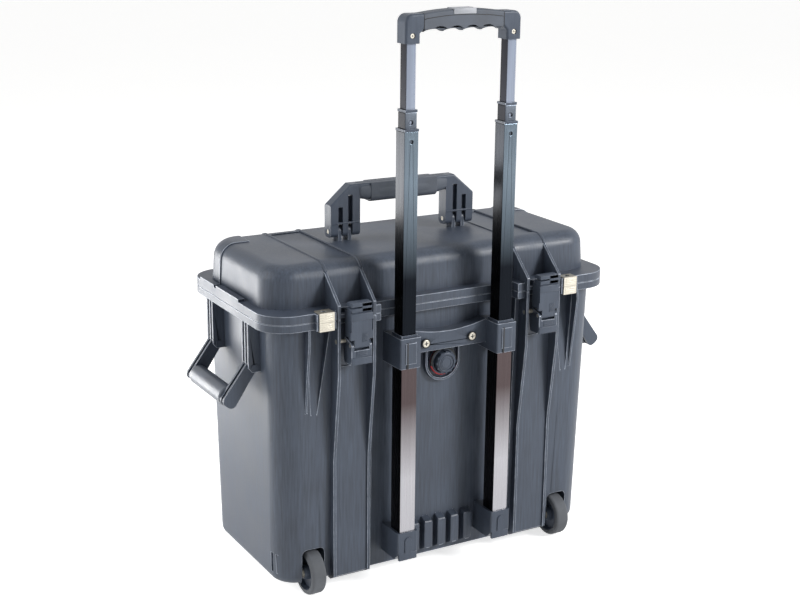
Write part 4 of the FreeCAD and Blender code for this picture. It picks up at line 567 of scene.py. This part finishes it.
class CASE_OT_fittings(CaseOperator, bpy.types.Operator):
    """Finish of the latches, handles, brackets and valve"""

    bl_idname = "case.fittings"
    bl_label = "Fittings"

    SMALL_EDGE = 0.4 * MM

    def make(self, finish, detail, stage):
        plastic = moulded_plastic("glass_filled_nylon_fittings", finish.fittings, rough=0.38, streak=0.08)
        names = ["top_handle_frame", "upper_bracket", "bottom_bracket_left", "bottom_bracket_right",
                 "outer_tube_caps", "lower_tube_caps", "middle_tube_caps", "lower_tube_shoes",
                 "middle_tube_shoes", "upper_tube_shoes", "valve_body", "valve_nut", "valve_knob"]
        for side, _ in SIDES:
            names += [f"side_handle_{side}", f"latch_lever_{side}", f"latch_hook_{side}",
                      f"grip_elbow_{side}"]
        dress(names, plastic, finish.edge, bpy.data.materials["rubbed_and_highlit_polypropylene"])
        dress(("side_handle_pins",), plastic, self.SMALL_EDGE)
        rubber = moulded_rubber("grip_rubber", finish.grip)
        dress(("top_handle_grip", "grip_center"), rubber, finish.edge)
        # A lighter copy of the grip rubber: painted sheen on the side grips
        sleeve = moulded_rubber("side_grip_rubber_painted_sheen", shade(finish.grip, 1.2), rough=0.38)
        dress(("side_grip_left", "side_grip_right"), sleeve, finish.edge)
        dress(("valve_seal",), moulded_rubber("red_silicone", finish.seal, rough=0.45))
        acetal = moulded_plastic("grey_acetal", finish.button, streak=0.05)
        dress(("release_button",), acetal, self.SMALL_EDGE)


class CASE_OT_metal(CaseOperator, bpy.types.Operator):
    """Finish of the trolley tubes and the steel pieces"""

    bl_idname = "case.metal"
    bl_label = "Metal"

    TUBE_EDGE = 1.2 * MM
    # Each stage's tones low and high, the heights in millimetres between them, the stops and its roughness;
    # the change of tone with height paints reflection and shade on the tubes
    TONES = {
        "outer": ("#a3a2a7", "#4a4142", (60, 310), (0.35, 0.75), 0.26),
        "lower": ("#15181d", "#68747f", (345, 585), (0.25, 0.75), 0.26),
        "middle": ("#4c525b", "#6c737d", (585, 612), (0.0, 1.0), 0.36),
        "upper": ("#7d8492", "#6e7582", (610, 690), (0.0, 1.0), 0.42),
    }

    def make(self, finish, detail, stage):
        for stage_name, (low, high, span, stops, rough) in self.TONES.items():
            tube = drawn_metal(f"anodised_tube_{stage_name}", linear(low), linear(high), span, rough=rough,
                               stops=stops, painted_shade_sides=True)
            dress([f"{stage_name}_tube_{side}" for side, _ in SIDES], tube, self.TUBE_EDGE)
        steel = drawn_metal("stainless_steel", shade(finish.steel, 0.9), finish.steel, (0, 700), rough=0.42)
        dress(("hinge_pins", "latch_pins", "base_padlock_plates", "lid_padlock_plates",
               "top_handle_pins", "wheel_axles", "bracket_screws", "grip_screws", "button_spring",
               "latch_link_pin_left", "latch_link_pin_right", "wheel_bush_left", "wheel_bush_right"), steel)


class CASE_OT_wheels(CaseOperator, bpy.types.Operator):
    """Finish of the wheels"""

    bl_idname = "case.wheels"
    bl_label = "Wheels"

    TYRE_EDGE = 1.5 * MM
    HUB_EDGE = 0.5 * MM

    def make(self, finish, detail, stage):
        tyre = moulded_rubber("tyre_rubber", finish.tyre, grain=2.5, rough=0.75)
        hub = moulded_plastic("hub_nylon", shade(finish.fittings, 1.2))
        for side, _ in SIDES:
            dress((f"wheel_tyre_{side}",), tyre, self.TYRE_EDGE)
            dress((f"wheel_hub_{side}",), hub, self.HUB_EDGE)


class CASE_OT_lid_detail(CaseOperator, bpy.types.Operator):
    """Ridges that carry the guard fins over the lid"""

    bl_idname = "case.lid_detail"
    bl_label = "Lid detail"

    # Round of the dome's top edge in the part, its centre from the middle plane, and the dome's top
    ROUND = 20 * MM
    ROUND_CENTRE = 76.35 * MM
    TOP = 426 * MM
    # Where a fin meets the round, in degrees above the level of the round's centre
    FIN_MEETS = 26
    ROUND_STEPS = 10

    def make(self, finish, detail, stage):
        shell = bpy.data.materials["moulded_polypropylene_shell"]
        for side, _ in SIDES:
            low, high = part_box(f"latch_lever_{side}")
            first = (low.x + high.x - detail.fin_pitch) / 2
            grow(f"lid_ridges_{side}", row_tree(), self.ridge(detail), "lid", Material=shell, Count=2,
                 Start=(first, 0, 0), Step=(detail.fin_pitch, 0, 0))

    def ridge(self, detail):
        """One ridge over the dome: up the front round, across the top and down the rear round."""
        half = detail.ridge_width / 2
        crown = 0.6 * half
        proud = detail.ridge_height
        shoulder = 0.4 * proud
        section = ((-half, -SUNK), (-half, shoulder), (-crown, proud), (crown, proud), (half, shoulder),
                   (half, -SUNK))
        turns = [math.radians(self.FIN_MEETS + (90 - self.FIN_MEETS) * step / self.ROUND_STEPS)
                 for step in range(self.ROUND_STEPS + 1)]
        path = [(-1, turn) for turn in turns] + [(1, turn) for turn in reversed(turns)]
        rows = []
        for facing, turn in path:
            row = []
            for across, out in section:
                reach = self.ROUND + out
                row.append((across, facing * (self.ROUND_CENTRE + reach * math.cos(turn)),
                            self.TOP - self.ROUND + reach * math.sin(turn)))
            rows.append(row)
        return skin(rows)


class CASE_OT_handle_detail(CaseOperator, bpy.types.Operator):
    """Swelling sleeve and slot webs of the top handle"""

    bl_idname = "case.handle_detail"
    bl_label = "Handle detail"

    # Webs in a leg's slots: outward from the leg's middle, up from its foot, width and height in millimetres
    WEBS = ((6, 27, 11, 19), (-5, 34, 14, 33))

    def make(self, finish, detail, stage):
        self.sleeve(detail)
        low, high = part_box("top_handle_frame")
        fittings = bpy.data.materials["glass_filled_nylon_fittings"]
        web_depth, web_edge = mm(4, 1)
        narrower, deeper, band_height, band_edge, band_rise = mm(1, 0.8, 2.4, 0.6, 18)
        band = (detail.leg_width - narrower, high.y - low.y + deeper, band_height)
        depth = (low.y + high.y) / 2
        for side, sign in SIDES:
            leg = sign * (high.x - detail.leg_width / 2)
            pieces = []
            for out, rise, width, height in self.WEBS:
                place = (leg + sign * out * MM, depth, low.z + rise * MM)
                pieces.append(rounded_block((width * MM, web_depth, height * MM), web_edge, place))
            pieces.append(rounded_block(band, band_edge, (leg, depth, low.z + band_rise)))
            keep(f"handle_leg_web_{side}", join(pieces), "top_handle", fittings)

    def sleeve(self, detail):
        """The grip's sleeve: an oval that swells in the middle and runs out into the frame."""
        low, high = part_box("top_handle_grip")
        middle = (low + high) / 2
        reach = (high.x - low.x) / 2 + detail.sleeve_overlap
        wider, taller = mm(0.6, 0.3)
        taper = 0.22
        squareness = 0.75
        steps = 40
        points = 28
        rows = []
        for step in range(steps + 1):
            along = -1 + 2 * step / steps
            swell = 1 - taper * abs(along) ** 3
            wide = (high.y - low.y) / 2 * swell + wider
            tall = (high.z - low.z) / 2 * swell + taller
            row = []
            for place in range(points):
                turn = 2 * math.pi * place / points
                across, rise = [math.copysign(abs(part) ** squareness, part)
                                for part in (math.cos(turn), math.sin(turn))]
                row.append((middle.x + reach * along, middle.y + wide * across,
                            high.z + taller - tall + tall * rise))
            rows.append(row)
        keep("top_handle_sleeve", skin(rows), "top_handle", bpy.data.materials["grip_rubber"])


class CASE_OT_latch_detail(CaseOperator, bpy.types.Operator):
    """Ribs, lips and heads of the latches, and ribs on the padlock plates"""

    bl_idname = "case.latch_detail"
    bl_label = "Latch detail"

    # Ribs: width, height, edge, how far up from the piece's foot the first one lies, and their pitch
    LEVER_RIB = mm(15, 1.3, 0.4, 11, 1.9)
    HOOK_RIB = mm(8.5, 0.9, 0.3, 9, 1.7)
    PLATE_RIB = mm(16.5, 0.7, 1.1)

    def make(self, finish, detail, stage):
        fittings = bpy.data.materials["glass_filled_nylon_fittings"]
        steel = bpy.data.materials["stainless_steel"]
        proud = detail.rib_height
        lip_width, lip_height, lip_edge, lip_rise = mm(28, 9, 0.8, 4.6)
        hook_rib_aside, plate_rib_inset, plate_rib_edge = mm(5, 9, 0.3)
        for side, _ in SIDES:
            low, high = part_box(f"latch_lever_{side}")
            middle = (low.x + high.x) / 2
            lip = rounded_block((lip_width, 3 * proud, lip_height), lip_edge,
                                (middle, low.y, low.z + lip_rise), 3)
            keep(f"lever_lip_{side}", lip, f"latch_lever_{side}", fittings)
            self.ribs("lever", side, (middle, low.y, low.z), self.LEVER_RIB, detail.lever_ribs, proud)
            low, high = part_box(f"latch_hook_{side}")
            keep(f"hook_head_{side}", self.head(detail, low, high), f"latch_hook_{side}", fittings)
            foot = (middle + hook_rib_aside, low.y, low.z)
            self.ribs("hook", side, foot, self.HOOK_RIB, detail.hook_ribs, proud)
        for owner in ("base", "lid"):
            low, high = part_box(f"{owner}_padlock_plates")
            step = (high.z - low.z) / (detail.plate_ribs + 1)
            for side, sign in SIDES:
                place = sign * (abs(high.x) - plate_rib_inset)
                rib = rounded_block(self.PLATE_RIB, plate_rib_edge)
                grow(f"{owner}_plate_ribs_{side}", row_tree(), rib, owner, Material=steel,
                     Count=detail.plate_ribs, Start=(place, low.y, low.z + step), Step=(0, 0, step))

    def ribs(self, piece, side, foot, sizes, count, proud):
        """A row of fine ribs up a lever or a hook."""
        width, height, edge, rise, pitch = sizes
        rib = rounded_block((width, 2 * proud, height), edge)
        fittings = bpy.data.materials["glass_filled_nylon_fittings"]
        grow(f"{piece}_ribs_{side}", row_tree(), rib, f"latch_{piece}_{side}", Material=fittings,
             Count=count, Start=(foot[0], foot[1], foot[2] + rise), Step=(0, 0, pitch))

    def head(self, detail, low, high):
        """A hook's head: a slotted block over the claw, and a bar across the top of the hook's plate."""
        narrower, deep, edge, slot = mm(2, 13, 0.7, 1.2)
        bar_overlap, block_overlap = mm(0.3, 0.1)
        plate_depth, plate_height, plate_drop = mm(1.8, 9, 6)
        middle = (low.x + high.x) / 2
        width = high.x - low.x - narrower
        rise = detail.head_height
        bar = (rise - slot) / 2
        back = low.y + deep / 2
        blocks = (
            ((width, deep, bar), (middle, back, high.z + rise - bar / 2)),
            ((width, deep, bar), (middle, back, high.z + bar / 2 - bar_overlap)),
            ((width / 2, deep, rise), (middle + width / 4, back, high.z + rise / 2 - block_overlap)),
            ((width + narrower, plate_depth, plate_height), (middle, low.y, high.z - plate_drop)),
        )
        return join([rounded_block(size, edge, place) for size, place in blocks])


class CASE_OT_trolley_detail(CaseOperator, bpy.types.Operator):
    """Fine detail of the trolley's grip, collars and feet, its screws and the valve"""

    bl_idname = "case.trolley_detail"
    bl_label = "Trolley detail"

    # Screws, the bodies they ride on, and how many millimetres wider than a head its dark well, a painted
    # shadow round the head, is
    SCREWS = (("grip_screws", "trolley_upper", 2.0), ("bracket_screws", "base", 1.2))
    # Outer and inner radius, and how far it stands out, of each ring on the valve
    KNOB_RINGS = (mm(12, 10.2, 0.5), mm(7.4, 6, 0.5))
    COLLAR = mm(16.9, 14.6, 1.6)
    # The hood is dark and paints the shadow over the seal's upper part
    SHADOW_HOOD = mm(18.9, 14.8, 1.5)
    # Trolley channel's wall in the part, front of its skid ribs, and their lower and upper ends
    CHANNEL = -101.5 * MM
    SKID_FRONT = -112.5 * MM
    SKID_FOOT = 22.6 * MM
    SKID_HEAD = 70.4 * MM

    def make(self, finish, detail, stage):
        fittings = bpy.data.materials["glass_filled_nylon_fittings"]
        dark = moulded_rubber("shadowed_gap", shade(finish.grip, 0.08))
        self.scallops(detail)
        self.grip_lines(detail, dark)
        self.bezel()
        # Dark strips down the collars' fronts paint the shadow of a groove
        groove_depth, groove_height, groove_edge = mm(1, 33, 0.02)
        aside, inward, drop = mm(5, 0.46, 3)
        narrower, toe_depth, toe_height, toe_edge, toe_inward, toe_rise = mm(3, 4, 10.6, 1, 2.6, 5.4)
        low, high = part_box("upper_bracket")
        for side, _ in SIDES:
            tube_low, tube_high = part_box(f"outer_tube_{side}")
            place = ((tube_low.x + tube_high.x) / 2 - aside, low.y + inward, (low.z + high.z) / 2 - drop)
            groove = rounded_block((detail.groove_shadow_width, groove_depth, groove_height), groove_edge, place)
            keep(f"collar_groove_{side}", groove, "base", dark)
            low_end, high_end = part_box(f"bottom_bracket_{side}")
            place = ((low_end.x + high_end.x) / 2, low_end.y + toe_inward, low_end.z + toe_rise)
            width = high_end.x - low_end.x - narrower
            toe = rounded_block((width, toe_depth, toe_height), toe_edge, place, 3)
            keep(f"bracket_toe_{side}", toe, "base", fittings)
        self.skids(detail)
        self.shadow_wells(dark)
        self.valve(detail, fittings, dark)

    def shadow_wells(self, dark):
        """Dark rings round the screws' heads and dark crosses on them: painted shade of the wells and cross
        recesses.
        """
        gap, proud, cross_depth, cross_edge, inward = mm(0.1, 0.6, 1, 0.05, 0.4)
        for name, body, spread in self.SCREWS:
            low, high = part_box(name)
            radius = (high.z - low.z) / 2
            level = (low.z + high.z) / 2
            arm = 1.1 * radius
            slit = 0.25 * radius
            pieces = []
            for _, sign in SIDES:
                across = sign * (high.x - radius)
                centre = (across, low.y + SUNK, level)
                pieces.append(washer(centre, radius + spread * MM, radius + gap, proud))
                for size in ((arm, cross_depth, slit), (slit, cross_depth, arm)):
                    pieces.append(rounded_block(size, cross_edge, (across, low.y + inward, level)))
            keep(f"{name}_wells", join(pieces), body, dark)

    def valve(self, detail, fittings, dark):
        """Rings and lugs of the valve's knob, the collar round its seal, and a dark hood over the seal's
        upper part that paints its shadow.
        """
        low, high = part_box("valve_knob")
        face = ((low.x + high.x) / 2, low.y, (low.z + high.z) / 2)
        keep("knob_rings", join([washer(face, *ring) for ring in self.KNOB_RINGS]), "valve_knob", fittings)
        seal_low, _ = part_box("valve_seal")
        seat = (face[0], seal_low.y, face[2])
        keep("valve_collar", washer(seat, *self.COLLAR), "base", fittings)
        start = math.radians(90) - detail.shadow_hood_reach / 2
        keep("valve_hood", washer(seat, *self.SHADOW_HOOD, start, detail.shadow_hood_reach), "base", dark)
        width, height, shorter, edge = mm(2.6, 1.6, 1, 0.5)
        lug = rounded_block((width, high.y - low.y - shorter, height), edge)
        grow("knob_lugs", ring_tree(), lug, "valve_knob", Material=fittings, Count=detail.knob_lugs,
             Centre=(low + high) / 2, Radius=(high.x - low.x) / 2)

    def grip_lines(self, detail, dark):
        """Dark strips that paint the shadow in the gaps between the grip's centre and its elbows, and of a
        groove along the parting line that follows its crown.
        """
        low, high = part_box("grip_center")
        end_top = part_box("grip_elbow_left")[1].z
        proud, cut, gap_half, line_half = mm(0.12, 2.2, 0.5, 0.4)
        front, back = low.y - proud, high.y + proud
        foot, top = low.z - proud, end_top + proud
        section = ((front, foot), (back, foot), (back, top - cut), (back - cut, top), (front + cut, top),
                   (front, top - cut))
        pieces = []
        for _, sign in SIDES:
            pieces.append(skin([[(sign * high.x + wide, y, z) for y, z in section]
                                for wide in (-gap_half, gap_half)]))
        inner = low.y + SUNK
        section = ((front, -line_half), (front, line_half), (inner, line_half), (inner, -line_half))
        steps = 24
        rows = []
        for step in range(steps + 1):
            along = -1 + 2 * step / steps
            line = end_top + (high.z - end_top) * (1 - along ** 2) - detail.parting_drop
            rows.append([(along * high.x, y, line + rise) for y, rise in section])
        pieces.append(skin(rows))
        keep("grip_lines", join(pieces), "trolley_upper", dark)

    def bezel(self):
        """A grey bezel in front of the release button, turned down over the grip's front."""
        low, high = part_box("release_button")
        grip_low, grip_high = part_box("grip_center")
        wider, edge = mm(1, 0.5)
        lip_depth, lip_height, lip_inward, lip_drop = mm(2, 6.5, 0.4, 2.6)
        top_height, top_forward, top_drop = mm(1.6, 0.5, 0.1)
        width = high.x - low.x + wider
        land = low.y - grip_low.y
        lip = rounded_block((width, lip_depth, lip_height), edge,
                            (0, grip_low.y + lip_inward, grip_high.z - lip_drop))
        top = rounded_block((width, land, top_height), edge,
                            (0, grip_low.y + land / 2 - top_forward, grip_high.z - top_drop))
        keep("button_bezel", join((lip, top)), "trolley_upper", bpy.data.materials["grey_acetal"])

    def skids(self, detail):
        """Broad ribs at the foot of the trolley channel, sloped at both ends."""
        front, foot, head = self.SKID_FRONT, self.SKID_FOOT, self.SKID_HEAD
        slope = self.CHANNEL - front
        back = self.CHANNEL + SUNK
        half = detail.skid_width / 2
        edge = 1 * MM
        end_size = 0.95
        side = ((back, foot), (front + edge, foot + slope / 2), (front, foot + slope),
                (front, head - 0.5 * slope), (front + edge, head - 0.35 * slope), (back, head))
        middle = Vector((0, (back + front) / 2, (foot + head) / 2))
        rows = []
        for across, size in ((-half, end_size), (-half + edge, 1.0), (half - edge, 1.0), (half, end_size)):
            rows.append([(across, middle.y + (y - middle.y) * size, middle.z + (z - middle.z) * size)
                         for y, z in side])
        rib = skin(rows)
        for face in rib.polygons:
            face.use_smooth = False
        shell = bpy.data.materials["moulded_polypropylene_shell"]
        grow("skid_ribs", row_tree(), rib, "base", Material=shell, Count=detail.skid_ribs,
             Start=(-detail.skid_pitch * (detail.skid_ribs - 1) / 2, 0, 0), Step=(detail.skid_pitch, 0, 0))

    def scallops(self, detail):
        """A wavy strip under the trolley grip, one hollow for each finger."""
        low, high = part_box("grip_center")
        inset, skin_depth, sunk = mm(2, 0.6, 0.5)
        half_width = (high.y - low.y) / 2 - inset
        middle = (low.y + high.y) / 2
        length = high.x - low.x - 2 * inset
        steps = 96
        points = 9
        rows = []
        for step in range(steps + 1):
            along = step / steps
            hollow = abs(math.sin(math.pi * detail.scallops * along)) ** 0.7
            depth = detail.scallop_depth * (1 - hollow) + skin_depth
            row = []
            for place in range(points):
                turn = math.pi * place / (points - 1)
                row.append((low.x + inset + length * along, middle - half_width * math.cos(turn),
                            low.z + sunk - (depth + sunk) * math.sin(turn) ** 0.5))
            rows.append(row)
        keep("grip_scallops", skin(rows), "trolley_upper", bpy.data.materials["grip_rubber"])


def seen_directly(tree):
    """1 where the camera sees a surface, straight, mirrored or through glass, and 0 where it only lights."""
    path = add(tree, "ShaderNodeLightPath")
    seen = add(tree, "ShaderNodeMath", {0: path.outputs["Is Camera Ray"], 1: path.outputs["Is Glossy Ray"]},
               operation="MAXIMUM")
    clear = add(tree, "ShaderNodeMath", {0: seen.outputs["Value"], 1: path.outputs["Is Transmission Ray"]},
                operation="MAXIMUM")
    return clear.outputs["Value"]


class CASE_OT_stage(CaseOperator, bpy.types.Operator):
    """Floor, light and camera"""

    bl_idname = "case.stage"
    bl_label = "Stage"

    FLOOR_HALF = 30
    # Each lamp's place and size in metres, and its power in watts
    LAMPS = {
        "key": ((1.6, -1.9, 1.5), 0.8, 69),
        "end": ((-0.68, 0.74, 0.2), 0.5, 7),
        "left": ((-2.0, 0.4, 1.3), 1.6, 27),
        "top": ((0.1, 0.5, 2.6), 1.4, 4),
    }
    LAMPS_AIM = (0, 0, 0.3)
    # Strength of the world as light, and as it is seen
    WORLD_LIGHT = 0.22
    WORLD_SEEN = 1.0
    SENSOR = 36
    VIEW_END = 100

    def make(self, finish, detail, stage):
        scene = bpy.context.scene
        scene.view_settings.view_transform = "Standard"
        self.floor(stage)
        self.light()
        self.camera(stage)

    def floor(self, stage):
        """A wide paper floor that the camera sees near white, with the case's shadow on it."""
        mesh = bpy.data.meshes.new("floor")
        grid = bmesh.new()
        bmesh.ops.create_grid(grid, x_segments=1, y_segments=1, size=self.FLOOR_HALF)
        grid.to_mesh(mesh)
        grid.free()
        floor = bpy.data.objects.new("floor", mesh)
        bpy.context.scene.collection.objects.link(floor)
        # Matte paper with a faint, wide unevenness
        constants = {"Roughness": 0.9, "Emission Color": WHITE}
        material, tree, shader, place = new_material("pale_paper", constants)
        fibre = add(tree, "ShaderNodeTexNoise", {"Vector": place, "Scale": per_mm(400)})
        tone = between(tree, fibre.outputs["Fac"], shade(stage.floor, 0.98), stage.floor)
        tree.links.new(tone, shader.inputs["Base Color"])
        glow = add(tree, "ShaderNodeMath", {0: seen_directly(tree), 1: stage.lift}, operation="MULTIPLY")
        tree.links.new(glow.outputs["Value"], shader.inputs["Emission Strength"])
        mesh.materials.append(material)

    def light(self):
        """A dim white world that is seen as white, and the lamps."""
        world = bpy.data.worlds.new("studio")
        bpy.context.scene.world = world
        world.use_nodes = True
        tree = world.node_tree
        tree.nodes.clear()
        dim = add(tree, "ShaderNodeBackground", {"Color": WHITE, "Strength": self.WORLD_LIGHT})
        white = add(tree, "ShaderNodeBackground", {"Color": WHITE, "Strength": self.WORLD_SEEN})
        mixed = add(tree, "ShaderNodeMixShader", {
            0: seen_directly(tree), 1: dim.outputs["Background"], 2: white.outputs["Background"]})
        add(tree, "ShaderNodeOutputWorld", {"Surface": mixed.outputs["Shader"]})
        for name, (spot, size, power) in self.LAMPS.items():
            lamp = bpy.data.lights.new(name, "AREA")
            lamp.size = size
            lamp.energy = power
            item = bpy.data.objects.new(name, lamp)
            item.visible_camera = False
            item.location = spot
            aim = Vector(self.LAMPS_AIM) - Vector(spot)
            item.rotation_euler = aim.to_track_quat("-Z", "Y").to_euler()
            bpy.context.scene.collection.objects.link(item)

    def camera(self, stage):
        """The photograph's view: turned round the case, raised, and tilted a little."""
        data = bpy.data.cameras.new("camera")
        data.lens = stage.lens
        data.sensor_width = self.SENSOR
        data.clip_end = self.VIEW_END
        item = bpy.data.objects.new("camera", data)
        bpy.context.scene.collection.objects.link(item)
        turn, lift, roll = stage.azimuth, stage.elevation, stage.roll
        back = Vector((math.sin(turn) * math.cos(lift), -math.cos(turn) * math.cos(lift), math.sin(lift)))
        level = Vector((math.cos(turn), math.sin(turn), 0))
        upright = back.cross(level)
        right = level * math.cos(roll) + upright * math.sin(roll)
        up = upright * math.cos(roll) - level * math.sin(roll)
        axes = Matrix((right, up, back)).transposed().to_4x4()
        axes.translation = Vector(stage.target) + back * stage.distance
        item.matrix_world = axes
        bpy.context.scene.camera = item


OPERATORS = (CASE_OT_shells, CASE_OT_fittings, CASE_OT_metal, CASE_OT_wheels, CASE_OT_lid_detail,
             CASE_OT_handle_detail, CASE_OT_latch_detail, CASE_OT_trolley_detail, CASE_OT_stage)


class CASE_PT_panel(bpy.types.Panel):
    """Lists the case's sizes, colours and pieces"""

    bl_idname = "CASE_PT_panel"
    bl_label = "Rolling case"
    bl_space_type = "VIEW_3D"
    bl_region_type = "UI"
    bl_category = "Case"

    def draw(self, context):
        for group in (context.scene.case_finish, context.scene.case_detail, context.scene.case_stage):
            for name in group.__annotations__:
                self.layout.prop(group, name)
        for operator in OPERATORS:
            self.layout.operator(operator.bl_idname)


CLASSES = (CaseFinish, CaseDetail, CaseStage, *OPERATORS, CASE_PT_panel)


def register():
    for item in CLASSES:
        bpy.utils.register_class(item)
    bpy.types.Scene.case_finish = PointerProperty(type=CaseFinish)
    bpy.types.Scene.case_detail = PointerProperty(type=CaseDetail)
    bpy.types.Scene.case_stage = PointerProperty(type=CaseStage)


def unregister():
    del bpy.types.Scene.case_stage
    del bpy.types.Scene.case_detail
    del bpy.types.Scene.case_finish
    for item in reversed(CLASSES):
        bpy.utils.unregister_class(item)


def main():
    register()
    for operator in OPERATORS:
        group, name = operator.bl_idname.split(".")
        getattr(getattr(bpy.ops, group), name)()


if __name__ == "__main__":
    main()
